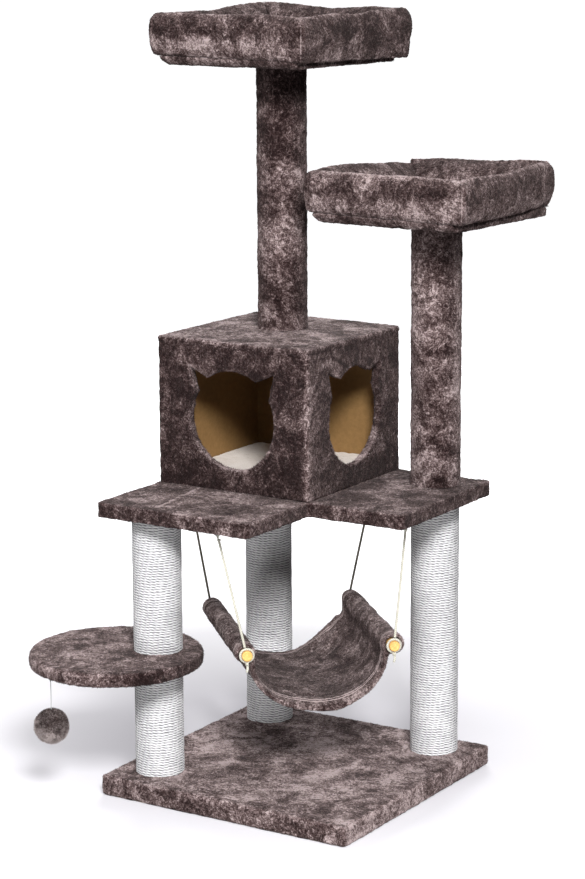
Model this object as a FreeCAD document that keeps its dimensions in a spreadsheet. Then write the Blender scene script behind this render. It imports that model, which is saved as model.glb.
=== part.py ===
import FreeCAD, Part
import math
import os
import Sketcher
from FreeCAD import Placement, Rotation, Vector

# Cat tree: a square base with three sisal posts, a round step, an L-shaped middle shelf, a
# plush condo with two cat-head doorways, two plush posts with padded perches, a hammock on
# four cords and a pompom on a string.
# Millimetres, +Z up. The origin is the centre of the base's underside and -Y is the front.

SIZES = (
    ("base_side", 492, "base and middle shelf, outside the plush"),
    ("base_height", 37, "base with its plush"),
    ("base_board_top", 33, "top of the base board"),
    ("skirt_gap", 1.5, "plush skirt above the floor"),
    ("pile", 4, "plush on boards and posts"),
    ("thin_pile", 2.5, "plush on the perch boards"),
    ("post_left", -175.5, "x of the two left posts"),
    ("post_right", 173.5, "x of the right post"),
    ("post_front", -172.5, "y of the front post"),
    ("post_back", 179, "y of the two back posts"),
    ("sisal_radius", 42.5, "outside of the sisal winding"),
    ("sisal_rope", 4.5, "sisal rope thickness"),
    ("tube_wall", 4, "wall of every paper tube"),
    ("plug_length", 30, "wooden plug in each tube end"),
    ("bolt_radius", 4, "M8 bolts and studs"),
    ("bolt_grip", 28, "thread length inside a plug"),
    ("bolt_clear", 4.5, "clearance hole for an M8 bolt"),
    ("head_radius", 9, "bolt head"),
    ("head_height", 5, "bolt head"),
    ("head_pocket", 10, "pocket for a bolt head"),
    ("step_x", -236, "round step centre"),
    ("step_y", -213, "round step centre"),
    ("step_radius", 149, "round step, outside the plush"),
    ("step_under", 232, "underside of the round step"),
    ("step_thick", 24.5, "round step with its plush"),
    ("shelf_under", 497, "underside of the middle shelf"),
    ("shelf_thick", 26, "middle shelf with its plush"),
    ("notch", 185, "square cut from the shelf's front right corner"),
    ("condo_side", 307, "condo footprint, outside the plush"),
    ("condo_height", 261, "condo with its plush"),
    ("panel", 9, "condo wall and roof board"),
    ("condo_floor", 12, "condo floor board"),
    ("fleece", 10, "fleece floor mat"),
    ("door_radius", 85, "round of the cat-head doorway"),
    ("door_centre", 125, "doorway centre above the condo's underside"),
    ("ear_tip_out", 84, "ear tip, sideways from the doorway centre"),
    ("ear_tip_up", 86, "ear tip, above the doorway centre"),
    ("ear_outer", 73, "foot of the ear's outer edge, sideways"),
    ("ear_inner", 45, "foot of the ear's inner edge, sideways"),
    ("door_lip", 4, "plush turned in over the board's edge all round a doorway"),
    ("screw_radius", 1.75, "panel screws"),
    ("tall_post_x", -103, "tall plush post"),
    ("tall_post_y", 119, "tall plush post"),
    ("plush_radius", 44.5, "plush posts, outside the plush"),
    ("plush_post_length", 464, "both plush posts"),
    ("perch_width", 282, "perch board, outside the plush"),
    ("perch_depth", 292, "perch board, outside the plush"),
    ("perch_thick", 17, "perch board with its plush"),
    ("perch_twist", -3.2, "both perches sit turned on their posts"),
    ("low_perch_shift", -6, "low perch board, sideways from its post"),
    ("bolster_height", 75, "stuffed rim of a perch"),
    ("bolster_out", 22, "rim's widest reach past the board"),
    ("bolster_in", 40, "rim's inner reach from the board's edge"),
    ("top_rim_corner", 18, "outer corners of the top perch's rim"),
    ("low_rim_corner", 42, "outer corners of the low perch's rim"),
    ("perch_pad", 10, "padded floor of a perch"),
    ("dowel_radius", 9, "hammock dowels"),
    ("dowel_length", 336, "hammock dowels"),
    ("dowel_height", 283, "height of the dowels' centres"),
    ("dowel_offset", 127.5, "dowels from the hammock's middle"),
    ("hammock_shift", 4.5, "hammock hangs towards the right post"),
    ("hammock_width", 304, "fabric along the dowels"),
    ("hammock_cloth", 9, "two layers of plush"),
    ("sleeve_radius", 15, "fabric sleeve around a dowel"),
    ("bowl_bottom", 188, "middle of the cloth at its lowest"),
    ("bowl_radius", 200, "flat bottom of the bowl"),
    ("bowl_half", 60, "half of the flat bottom's width"),
    ("bowl_rise", 84, "side of the bowl, upwards"),
    ("bowl_run", 58, "side of the bowl, sideways"),
    ("cord_radius", 2.25, "hammock cords"),
    ("eye_along", 163, "screw eyes, towards the left or right post"),
    ("eye_across", 121, "screw eyes, towards or away from the back left post"),
    ("cord_foot_across", 161, "cords at the dowels"),
    ("eye_ring", 5.5, "screw eye, middle of its wire"),
    ("eye_wire", 1.4, "screw eye wire"),
    ("cord_bow", 2, "slight outward bow of a tight cord"),
    ("toy_x", -292, "pompom"),
    ("toy_y", -327, "pompom"),
    ("toy_height", 140, "pompom centre"),
    ("toy_radius", 29, "pompom"),
    ("string_radius", 0.8, "pompom string"),
)

# Corner radii, in millimetres. A board under plush is rounded by less than its cover, so
# that the plush keeps its thickness round the corner.
BASE_CORNER = 12
SHELF_CORNER = 10
CONDO_CORNER = 9
MAT_CORNER = 12
PERCH_CORNER = 14
PAD_CORNER = 16

doc = FreeCAD.newDocument("CatTree")
sheet = doc.addObject("Spreadsheet::Sheet", "Sizes")
for row, (alias, number, note) in enumerate(SIZES, start=1):
    sheet.set(f"A{row}", alias)
    sheet.set(f"B{row}", str(number))
    sheet.set(f"C{row}", note)
    sheet.setAlias(f"B{row}", alias)
doc.recompute()

UP = Vector(0, 0, 1)
DIAGONAL = Rotation(UP, 45)
FLAT_TO_ALONG = Rotation(Vector(0, 1, 0), 90)
FLAT_TO_ACROSS = Rotation(Vector(1, 0, 0), 90)
VERTICAL_AXIS = -2
subparts = []


def size(alias):
    """Number in one cell of the sheet."""
    return float(sheet.get(alias))


def bind(thing, **sizes):
    """Bind properties of an object to formulas in the sheet's aliases."""
    for name, formula in sizes.items():
        thing.setExpression(name, linked(formula))


def linked(formula):
    """Formula with every alias written as a cell of the sheet."""
    words = []
    word = ""
    for mark in str(formula) + " ":
        if mark.isalnum() or mark in "_.":
            word += mark
            continue
        words.append(f"Sizes.{word}" if word and word[0].isalpha() else word)
        words.append(mark)
        word = ""
    return "".join(words).strip()


def put(thing, x=0, y=0, z=0):
    """Bind an object's position."""
    for axis, formula in zip("xyz", (x, y, z)):
        thing.setExpression(f"Placement.Base.{axis}", linked(formula))
    return thing


def subpart(thing, label):
    """Name an object as one of the pieces that are written out."""
    thing.Label = label
    subparts.append(thing)
    return thing


def box(name, width, depth, height, x, y, z):
    """Box centred on x and y, standing on z."""
    solid = doc.addObject("Part::Box", name)
    bind(solid, Length=width, Width=depth, Height=height)
    return put(solid, f"{x} - ({width}) / 2", f"{y} - ({depth}) / 2", z)


def cylinder(name, radius, height, x, y, z):
    """Upright cylinder standing on z."""
    solid = doc.addObject("Part::Cylinder", name)
    bind(solid, Radius=radius, Height=height)
    return put(solid, x, y, z)


def upright_edges(solid, sharp):
    """Numbers of a plate's upright edges, without the one that stands at the sharp point."""
    doc.recompute()
    numbers = []
    for number, edge in enumerate(solid.Shape.Edges, start=1):
        ends = [vertex.Point for vertex in edge.Vertexes]
        upright = abs(ends[0].z - ends[1].z) > 1
        kept = sharp and math.hypot(ends[0].x - sharp.x, ends[0].y - sharp.y) < 1
        if upright and not kept:
            numbers.append(number)
    return numbers


def rounded(name, solid, radius, sharp=None):
    """Plate with its upright edges rounded."""
    fillet = doc.addObject("Part::Fillet", name)
    fillet.Base = solid
    fillet.Edges = [(number, radius, radius) for number in upright_edges(solid, sharp)]
    return fillet


def cut(name, base, *tools):
    """Base with all the tools taken away."""
    if len(tools) == 1:
        tool = tools[0]
    else:
        tool = doc.addObject("Part::MultiFuse", f"{name}_tools")
        tool.Shapes = list(tools)
    result = doc.addObject("Part::Cut", name)
    result.Base = base
    result.Tool = tool
    return result


def join(name, *solids):
    """Solids fused into one."""
    result = doc.addObject("Part::MultiFuse", name)
    result.Shapes = list(solids)
    return result


def group(name, solids):
    """Separate solids kept together as one piece's file."""
    result = doc.addObject("Part::Compound", name)
    result.Links = list(solids)
    return result


def new_body(name):
    """Empty PartDesign body."""
    return doc.addObject("PartDesign::Body", name)


def new_sketch(body, name, role="XY_Plane"):
    """Sketch on one of the body's own origin planes."""
    sketch = body.newObject("Sketcher::SketchObject", name)
    plane = next(item for item in body.Origin.OriginFeatures if item.Role == role)
    sketch.AttachmentSupport = (plane, [""])
    sketch.MapMode = "FlatFace"
    return sketch


def constrain(sketch, formula, *rule):
    """Add a dimension to a sketch and bind it to a formula."""
    index = sketch.addConstraint(Sketcher.Constraint(*rule))
    sketch.setExpression(f"Constraints[{index}]", linked(formula))


def outline(sketch, points):
    """Closed polygon whose sides meet. The sides are numbered from 0."""
    count = len(points)
    for start, end in zip(points, points[1:] + points[:1]):
        sketch.addGeometry(Part.LineSegment(Vector(*start), Vector(*end)), False)
    for side in range(count):
        sketch.addConstraint(Sketcher.Constraint("Coincident", side, 2, (side + 1) % count, 1))


def ring(sketch, radius_formula, radius):
    """Circle about the sketch's origin."""
    index = sketch.addGeometry(Part.Circle(Vector(), UP, radius), False)
    sketch.addConstraint(Sketcher.Constraint("Coincident", index, 3, -1, 1))
    constrain(sketch, radius_formula, "Radius", index, radius)


def pad(body, sketch, name, length, midplane=False):
    """Pad a sketch by a bound length."""
    feature = body.newObject("PartDesign::Pad", name)
    feature.Profile = sketch
    feature.Midplane = midplane
    bind(feature, Length=length)
    return feature


DRAWN_RADIUS = 50


def sleeve(label, outer, inner, length, x, y, z):
    """Hollow cylinder: a paper tube, a sisal winding or a plush sleeve."""
    body = new_body(label)
    sketch = new_sketch(body, f"{label}_rings")
    ring(sketch, outer, DRAWN_RADIUS)
    ring(sketch, inner, DRAWN_RADIUS / 2)
    pad(body, sketch, f"{label}_length", length)
    put(body, x, y, z)
    return subpart(body, label)


def hex_bolt(name, x, y, head_bottom, foot, tip):
    """Bolt with a hexagon head; its shank runs from foot to tip."""
    head = doc.addObject("Part::Prism", f"{name}_head")
    head.Polygon = 6
    bind(head, Circumradius="head_radius", Height="head_height")
    put(head, x, y, head_bottom)
    shank = cylinder(f"{name}_shank", "bolt_radius", f"({tip}) - ({foot})", x, y, foot)
    return join(name, head, shank)


def stud(name, x, y, foot, tip):
    """Threaded stud between two posts."""
    return cylinder(name, "bolt_radius", f"({tip}) - ({foot})", x, y, foot)


def plug(name, radius, x, y, z):
    """Wooden plug with a threaded hole along its axis."""
    wood = cylinder(f"{name}_wood", radius, "plug_length", x, y, z)
    hole = cylinder(f"{name}_hole", "bolt_radius", "plug_length", x, y, z)
    return cut(name, wood, hole)


def diagonal(along, across, height):
    """Point given along the line from the front left post to the back right post, and
    across that line towards the back left post."""
    half = math.sqrt(0.5)
    return Vector((along - across) * half, (along + across) * half, height)


# Base: board with bolt pockets underneath, and its plush cover.

POSTS = (
    ("front", "post_left", "post_front"),
    ("back", "post_left", "post_back"),
    ("right", "post_right", "post_back"),
)
SHELF_TOP = "shelf_under + shelf_thick"


def base():
    board_side = "base_side - 2 * pile"
    plain = box("base_plain", board_side, board_side, "base_board_top", 0, 0, 0)
    blank = rounded("base_blank", plain, BASE_CORNER - size("pile"))
    board_tools = []
    cover_tools = [blank]
    bolts = []
    for name, x, y in POSTS:
        board_tools.append(cylinder(f"base_bore_{name}", "bolt_clear", "base_height", x, y, 0))
        board_tools.append(
            cylinder(f"base_pocket_{name}", "head_radius + 3", "head_pocket", x, y, 0)
        )
        cover_tools.append(cylinder(f"base_slot_{name}", "bolt_clear", "base_height + 1", x, y, 0))
        bolts.append(
            hex_bolt(
                f"base_bolt_{name}", x, y, "head_pocket - head_height",
                "head_pocket - head_height / 2", "base_height + bolt_grip",
            )
        )
    subpart(cut("base_board", blank, *board_tools), "base_board")
    skin = box(
        "base_skin", "base_side", "base_side", "base_height - skirt_gap", 0, 0, "skirt_gap"
    )
    skin_round = rounded("base_skin_round", skin, BASE_CORNER)
    subpart(cut("base_plush", skin_round, *cover_tools), "base_plush")
    subpart(group("base_bolts", bolts), "base_bolts")


# Sisal posts: a paper tube, a sisal winding outside it and a wooden plug in each end. The
# front post is in two lengths with the round step between them.

POST_LENGTHS = (
    ("front_post_lower", "post_left", "post_front", "base_height", "step_under"),
    ("front_post_upper", "post_left", "post_front", "step_under + step_thick", "shelf_under"),
    ("back_post", "post_left", "post_back", "base_height", "shelf_under"),
    ("right_post", "post_right", "post_back", "base_height", "shelf_under"),
)


def sisal_posts():
    tube_outer = "sisal_radius - sisal_rope"
    tube_inner = "sisal_radius - sisal_rope - tube_wall"
    plugs = []
    for name, x, y, foot, top in POST_LENGTHS:
        length = f"({top}) - ({foot})"
        sleeve(f"{name}_tube", tube_outer, tube_inner, length, x, y, foot)
        sleeve(f"{name}_sisal", "sisal_radius", tube_outer, length, x, y, foot)
        plugs.append(plug(f"{name}_foot_plug", tube_inner, x, y, foot))
        plugs.append(plug(f"{name}_top_plug", tube_inner, x, y, f"({top}) - plug_length"))
    subpart(group("sisal_post_plugs", plugs), "sisal_post_plugs")


# Round step: a disc clamped between the two lengths of the front post.


def disc(name, radius, height, z):
    """Disc about the step's centre, made as a padded circle."""
    body = new_body(name)
    sketch = new_sketch(body, f"{name}_circle")
    ring(sketch, radius, size("step_radius"))
    pad(body, sketch, f"{name}_pad", height)
    return put(body, "step_x", "step_y", z)


def round_step():
    board = disc("step_blank", "step_radius - pile", "step_thick - 2 * pile", "step_under + pile")
    skin = disc("step_skin", "step_radius", "step_thick", "step_under")
    bore = cylinder(
        "step_bore", "bolt_clear", "step_thick + 2", "post_left", "post_front", "step_under - 1"
    )
    eye_bore = cylinder(
        "step_eye_bore", "string_radius", "step_thick / 2", "toy_x", "toy_y", "step_under"
    )
    subpart(cut("round_step_board", board, bore, eye_bore), "round_step_board")
    subpart(cut("round_step_plush", skin, board, bore, eye_bore), "round_step_plush")
    middle = stud(
        "front_post_stud", "post_left", "post_front", "step_under - bolt_grip",
        "step_under + step_thick + bolt_grip",
    )
    subpart(middle, "front_post_stud")


# Middle shelf: an L-shaped board. The condo stands in its inner square, and the corner
# between its two arms is open.


def l_plate(name, side_formula, thick, z):
    """L-shaped plate: a square with the notch cut from its front right corner."""
    body = new_body(name)
    sketch = new_sketch(body, f"{name}_outline")
    half = size("base_side") / 2
    corner = half - size("notch")
    points = [
        (-half, -half), (corner, -half), (corner, -corner),
        (half, -corner), (half, half), (-half, half),
    ]
    outline(sketch, points)
    for side in (0, 2, 4):
        sketch.addConstraint(Sketcher.Constraint("Horizontal", side))
    for side in (1, 3, 5):
        sketch.addConstraint(Sketcher.Constraint("Vertical", side))
    sketch.addConstraint(Sketcher.Constraint("Symmetric", 0, 1, 3, 2, -1, 1))
    constrain(sketch, side_formula, "DistanceX", 4, 2, 4, 1, 2 * half)
    constrain(sketch, side_formula, "DistanceY", 0, 1, 4, 2, 2 * half)
    constrain(sketch, "notch", "DistanceX", 1, 2, 2, 2, half - corner)
    constrain(sketch, "notch", "DistanceY", 1, 1, 1, 2, half - corner)
    pad(body, sketch, f"{name}_pad", thick)
    return put(body, 0, 0, z)


def eye_bores():
    """Holes that take the four hammock screw eyes."""
    bores = []
    for name, along, across in EYES:
        bore = doc.addObject("Part::Cylinder", f"eye_bore_{name}")
        bind(bore, Radius="eye_wire", Height="shelf_thick / 2")
        bore.Placement.Base = diagonal(along, across, size("shelf_under"))
        bores.append(bore)
    return bores


def middle_shelf():
    plain_board = l_plate(
        "shelf_blank", "base_side - 2 * pile", "shelf_thick - 2 * pile", "shelf_under + pile"
    )
    plain_skin = l_plate("shelf_skin", "base_side", "shelf_thick", "shelf_under")
    reach = size("base_side") / 2 - size("notch")
    inner_corner = Vector(reach, -reach, 0)
    board_corner = Vector(reach - size("pile"), -reach + size("pile"), 0)
    board_round = SHELF_CORNER - size("pile")
    board = rounded("shelf_blank_round", plain_board, board_round, board_corner)
    skin = rounded("shelf_skin_round", plain_skin, SHELF_CORNER, inner_corner)
    up_to_head = "shelf_thick - pile"
    bores = {}
    for name, x, y in POSTS:
        height = up_to_head if name == "front" else "shelf_thick + 2"
        bores[name] = cylinder(
            f"shelf_bore_{name}", "bolt_clear", height, x, y, "shelf_under - 1"
        )
    pocket = cylinder(
        "shelf_pocket", "head_radius + 1", "head_height + 1", "post_left", "post_front",
        f"{SHELF_TOP} - pile - head_height - 1",
    )
    eyes = eye_bores()
    subpart(cut("middle_shelf_board", board, *bores.values(), pocket, *eyes), "middle_shelf_board")
    subpart(cut("middle_shelf_plush", skin, board, *bores.values(), *eyes), "middle_shelf_plush")
    head = f"{SHELF_TOP} - pile - head_height - 0.5"
    top_bolt = hex_bolt(
        "front_post_top_bolt", "post_left", "post_front", head,
        "shelf_under - bolt_grip", f"{head} + 1",
    )
    subpart(top_bolt, "front_post_top_bolt")
    right_stud = stud(
        "right_post_stud", "post_right", "post_back", "shelf_under - bolt_grip",
        f"{SHELF_TOP} + bolt_grip",
    )
    subpart(right_stud, "right_post_stud")


# Condo: floor, four walls and a roof of thin board, a plush wrap and a plush roof. The
# front and right walls have cat-head doorways.

CONDO_X = "(condo_side - base_side) / 2"
CONDO_Y = "(base_side - condo_side) / 2"
CONDO_TOP = "shelf_under + shelf_thick + condo_height"
WALL_FOOT = "shelf_under + shelf_thick + condo_floor"
WALL_HEIGHT = "condo_height - condo_floor - panel - pile"
SCREW_LENGTH = 28
SCREW_HEAD_RADIUS = 3.5
SCREW_HEAD_HEIGHT = 2


def cat_head(name, lip, depth):
    """Round head with two pointed ears, larger by a lip and padded both ways from its plane."""
    body = new_body(name)
    sketch = new_sketch(body, f"{name}_outline", "XZ_Plane")
    grow = size(lip) if lip else 0
    radius = size("door_radius") + grow
    inner = math.acos((size("ear_inner") - grow) / radius)
    outer = math.acos((size("ear_outer") + grow) / radius)
    circle = Part.Circle(Vector(), UP, radius)
    crown = sketch.addGeometry(Part.ArcOfCircle(circle, inner, math.pi - inner), False)
    chin = sketch.addGeometry(
        Part.ArcOfCircle(circle, math.pi - outer, 2 * math.pi + outer), False
    )
    tip = Vector(size("ear_tip_out") + grow, size("ear_tip_up") + grow)
    dip = Vector(radius * math.cos(inner), radius * math.sin(inner))
    foot = Vector(radius * math.cos(outer), radius * math.sin(outer))
    sides = []
    for flip, start, end in ((1, foot, tip), (1, tip, dip), (-1, dip, tip), (-1, tip, foot)):
        line = Part.LineSegment(Vector(flip * start.x, start.y), Vector(flip * end.x, end.y))
        sides.append(sketch.addGeometry(line, False))
    right_out, right_in, left_in, left_out = sides
    meets = (
        (chin, 2, right_out, 1), (right_out, 2, right_in, 1), (right_in, 2, crown, 1),
        (crown, 2, left_in, 1), (left_in, 2, left_out, 1), (left_out, 2, chin, 1),
        (crown, 3, chin, 3), (crown, 3, -1, 1),
    )
    for pair in meets:
        sketch.addConstraint(Sketcher.Constraint("Coincident", *pair))
    sketch.addConstraint(Sketcher.Constraint("Equal", crown, chin))
    mirrored = ((right_out, 1, left_out, 2), (right_out, 2, left_in, 2), (right_in, 2, left_in, 1))
    for pair in mirrored:
        sketch.addConstraint(Sketcher.Constraint("Symmetric", *pair, VERTICAL_AXIS))
    wider, narrower = (f" + {lip}", f" - {lip}") if lip else ("", "")
    constrain(sketch, f"door_radius{wider}", "Radius", chin, radius)
    constrain(sketch, f"ear_tip_out{wider}", "DistanceX", -1, 1, right_out, 2, tip.x)
    constrain(sketch, f"ear_tip_up{wider}", "DistanceY", -1, 1, right_out, 2, tip.y)
    constrain(sketch, f"ear_outer{wider}", "DistanceX", -1, 1, right_out, 1, foot.x)
    constrain(sketch, f"ear_inner{narrower}", "DistanceX", -1, 1, right_in, 2, dip.x)
    pad(body, sketch, f"{name}_pad", depth, True)
    return body


def door_pair(name, lip, depth, back="0"):
    """Cat heads at the front and right walls, their planes set back from the plush's face."""
    reach = f"(condo_side / 2 - ({back}))"
    height = "shelf_under + shelf_thick + door_centre"
    front = put(cat_head(f"front_{name}", lip, depth), CONDO_X, f"{CONDO_Y} - {reach}", height)
    side = cat_head(f"side_{name}", lip, depth)
    side.Placement = Placement(Vector(), Rotation(UP, 90))
    put(side, f"{CONDO_X} + {reach}", CONDO_Y, height)
    return front, side


def panel_screw(name, x, y, z, rotation):
    """Screw whose head face is at its own origin and whose shank runs along its own Z."""
    shank = Part.makeCylinder(size("screw_radius"), SCREW_LENGTH)
    head = Part.makeCylinder(SCREW_HEAD_RADIUS, SCREW_HEAD_HEIGHT)
    screw = doc.addObject("Part::Feature", name)
    screw.Shape = shank.fuse(head).removeSplitter()
    screw.Placement = Placement(Vector(x, y, z), rotation)
    return screw


def panel_screws():
    """Screws through the front and back walls, and up and down through floor and roof."""
    reach = size("condo_side") / 2 - size("pile")
    inset = size("panel") / 2
    middle_x = (size("condo_side") - size("base_side")) / 2
    middle_y = -middle_x
    floor = size("shelf_under") + size("shelf_thick")
    roof = floor + size("condo_height") - size("pile")
    heights = (floor + 60, roof - 50)
    screws = []
    for side_x in (-1, 1):
        x = middle_x + side_x * (reach - inset)
        for side_y in (-1, 1):
            for height in heights:
                y = middle_y + side_y * reach
                turn = Rotation(Vector(1, 0, 0), 90 * side_y)
                screws.append(panel_screw(f"wall_screw_{len(screws)}", x, y, height, turn))
        up = Rotation()
        down = Rotation(Vector(1, 0, 0), 180)
        screws.append(panel_screw(f"floor_screw_{len(screws)}", x, middle_y, floor, up))
        screws.append(panel_screw(f"roof_screw_{len(screws)}", x, middle_y, roof, down))
    return screws


def condo():
    outer = "condo_side - 2 * pile"
    inner = "condo_side - 2 * pile - 2 * panel"
    wall_shift = "(condo_side / 2 - pile - panel / 2)"
    doors = door_pair("door", None, "6 * panel")
    front_hole, side_hole = door_pair("hole", "door_lip", "6 * panel")
    lips = door_pair("lip", "door_lip", "panel + 1", "pile + panel / 2 - 0.5")
    screws = panel_screws()
    floor_bore = cylinder(
        "condo_bore", "bolt_clear", "condo_floor", "post_left", "post_back", SHELF_TOP
    )
    floor_pocket = cylinder(
        "condo_pocket", "head_radius + 1", "head_height + 1", "post_left", "post_back",
        f"{WALL_FOOT} - head_height - 1",
    )
    floor = box("condo_floor_blank", outer, outer, "condo_floor", CONDO_X, CONDO_Y, SHELF_TOP)
    subpart(cut("condo_floor_board", floor, floor_bore, floor_pocket, *screws), "condo_floor_board")
    walls = (
        ("front", outer, "panel", CONDO_X, f"{CONDO_Y} - {wall_shift}", [front_hole]),
        ("back", outer, "panel", CONDO_X, f"{CONDO_Y} + {wall_shift}", []),
        ("right", "panel", inner, f"{CONDO_X} + {wall_shift}", CONDO_Y, [side_hole]),
        ("left", "panel", inner, f"{CONDO_X} - {wall_shift}", CONDO_Y, []),
    )
    for name, width, depth, x, y, holes in walls:
        blank = box(f"condo_{name}_blank", width, depth, WALL_HEIGHT, x, y, WALL_FOOT)
        wall = cut(f"condo_{name}_wall", blank, *holes, *screws)
        subpart(wall, f"condo_{name}_wall")
    roof_foot = f"{CONDO_TOP} - pile - panel"
    roof = box("condo_roof_blank", outer, outer, "panel", CONDO_X, CONDO_Y, roof_foot)
    roof_bore = cylinder(
        "roof_bore", "bolt_clear", "panel + pile", "tall_post_x", "tall_post_y", roof_foot
    )
    subpart(cut("condo_roof_board", roof, roof_bore, *screws), "condo_roof_board")
    wrap_height = "condo_height - pile"
    wrap = box(
        "condo_wrap_blank", "condo_side", "condo_side", wrap_height, CONDO_X, CONDO_Y, SHELF_TOP
    )
    hollow = box("condo_wrap_hollow", outer, outer, wrap_height, CONDO_X, CONDO_Y, SHELF_TOP)
    wrap_round = rounded("condo_wrap_round", wrap, CONDO_CORNER)
    skin = join("condo_wrap_and_lips", cut("condo_wrap_skin", wrap_round, hollow), *lips)
    subpart(cut("condo_wrap_plush", skin, *doors), "condo_wrap_plush")
    lid = box(
        "condo_lid_blank", "condo_side", "condo_side", "pile", CONDO_X, CONDO_Y,
        f"{CONDO_TOP} - pile",
    )
    lid_round = rounded("condo_lid_round", lid, CONDO_CORNER)
    subpart(cut("condo_roof_plush", lid_round, roof_bore), "condo_roof_plush")
    mat = box(
        "condo_mat_blank", f"{inner} - 2", f"{inner} - 2", "fleece", CONDO_X, CONDO_Y, WALL_FOOT
    )
    subpart(rounded("condo_fleece_mat", mat, MAT_CORNER), "condo_fleece_mat")
    subpart(group("condo_screws", screws), "condo_screws")
    head = f"{WALL_FOOT} - head_height - 0.5"
    floor_bolt = hex_bolt(
        "condo_floor_bolt", "post_left", "post_back", head,
        "shelf_under - bolt_grip", f"{head} + 1",
    )
    subpart(floor_bolt, "condo_floor_bolt")


# Plush posts: the tall one stands on the condo's roof, the short one on the right post.


def plush_posts():
    tube_outer = "plush_radius - pile"
    tube_inner = "plush_radius - pile - tube_wall"
    plugs = []
    posts = (
        ("tall_post", "tall_post_x", "tall_post_y", CONDO_TOP),
        ("short_post", "post_right", "post_back", SHELF_TOP),
    )
    for name, x, y, foot in posts:
        sleeve(f"{name}_tube", tube_outer, tube_inner, "plush_post_length", x, y, foot)
        sleeve(f"{name}_plush", "plush_radius", tube_outer, "plush_post_length", x, y, foot)
        top = f"{foot} + plush_post_length - plug_length"
        plugs.append(plug(f"{name}_foot_plug", tube_inner, x, y, foot))
        plugs.append(plug(f"{name}_top_plug", tube_inner, x, y, top))
    subpart(group("plush_post_plugs", plugs), "plush_post_plugs")
    head = f"{CONDO_TOP} - pile - panel - head_height"
    roof_bolt = hex_bolt(
        "tall_post_roof_bolt", "tall_post_x", "tall_post_y", head,
        f"{head} + 1", f"{CONDO_TOP} + bolt_grip",
    )
    subpart(roof_bolt, "tall_post_roof_bolt")


# Perches: a plush-covered board bolted to a post, a stuffed rim of four mitred segments
# and a padded floor.

RIM_FOOT_OUT = 6
RIM_FOOT_IN = 34
RIM_CREST_OUT = 8
RIM_CREST_IN = 14
RIM_CREST_DROP = 9
RIM_CREST_BACK = 5
RIM_BELLY = 0.55
RIM_SPARE = 5
PERCH_PAD_INSET = 42


def rim_section(edge, base_height):
    """Section of the stuffed rim, outward along +X from the perch's middle."""
    out = edge + size("bolster_out")
    back = edge - size("bolster_in")
    top = base_height + size("bolster_height")
    foot_out = Vector(edge + RIM_FOOT_OUT, 0, base_height)
    foot_in = Vector(edge - RIM_FOOT_IN, 0, base_height)
    crest_out = Vector(out - RIM_CREST_OUT, 0, top - RIM_CREST_DROP)
    crest_in = Vector(back + RIM_CREST_IN, 0, top - RIM_CREST_DROP)
    belly = Vector(out, 0, base_height + RIM_BELLY * size("bolster_height"))
    crest = Vector(edge - RIM_CREST_BACK, 0, top)
    lap = Vector(back, 0, base_height + (1 - RIM_BELLY) * size("bolster_height"))
    edges = [
        Part.Arc(foot_out, belly, crest_out).toShape(),
        Part.Arc(crest_out, crest, crest_in).toShape(),
        Part.Arc(crest_in, lap, foot_in).toShape(),
        Part.makeLine(foot_in, foot_out),
    ]
    return Part.Face(Part.Wire(edges))


def rim_segment(edge, half_length, base_height, outer_shape):
    """One straight segment of the rim along Y, mitred at 45 degrees at both ends."""
    inside = size("bolster_in") + RIM_SPARE
    outside = size("bolster_out") + RIM_SPARE
    reach = half_length + outside
    section = rim_section(edge, base_height)
    section.translate(Vector(0, -reach, 0))
    bar = section.extrude(Vector(0, 2 * reach, 0))
    near, far = edge - inside, edge + outside
    short, long = half_length - inside, half_length + outside
    floor = base_height - 1
    corners = [
        Vector(near, -short, floor),
        Vector(far, -long, floor),
        Vector(far, long, floor),
        Vector(near, short, floor),
        Vector(near, -short, floor),
    ]
    wedge = Part.Face(Part.makePolygon(corners)).extrude(Vector(0, 0, 2 * size("bolster_height")))
    return bar.common(wedge).common(outer_shape)


def rim(name, base_height, corner):
    """The four segments about a perch's middle, with outer corners of this radius."""
    half_x = size("perch_width") / 2
    half_y = size("perch_depth") / 2
    segments = []
    for edge, half_length, turns in ((half_x, half_y, (0, 180)), (half_y, half_x, (90, 270))):
        wide = edge + size("bolster_out")
        deep = half_length + size("bolster_out")
        block = Part.makeBox(
            2 * wide, 2 * deep, 2 * size("bolster_height"), Vector(-wide, -deep, base_height - 1)
        )
        upright = [e for e in block.Edges if abs(e.Vertexes[0].Z - e.Vertexes[1].Z) > 1]
        outer_shape = block.makeFillet(corner, upright)
        for turn in turns:
            segment = rim_segment(edge, half_length, base_height, outer_shape)
            segment.rotate(Vector(), UP, turn)
            segments.append(segment)
    ring_of_four = doc.addObject("Part::Feature", name)
    ring_of_four.Shape = Part.makeCompound(segments)
    return ring_of_four


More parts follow.
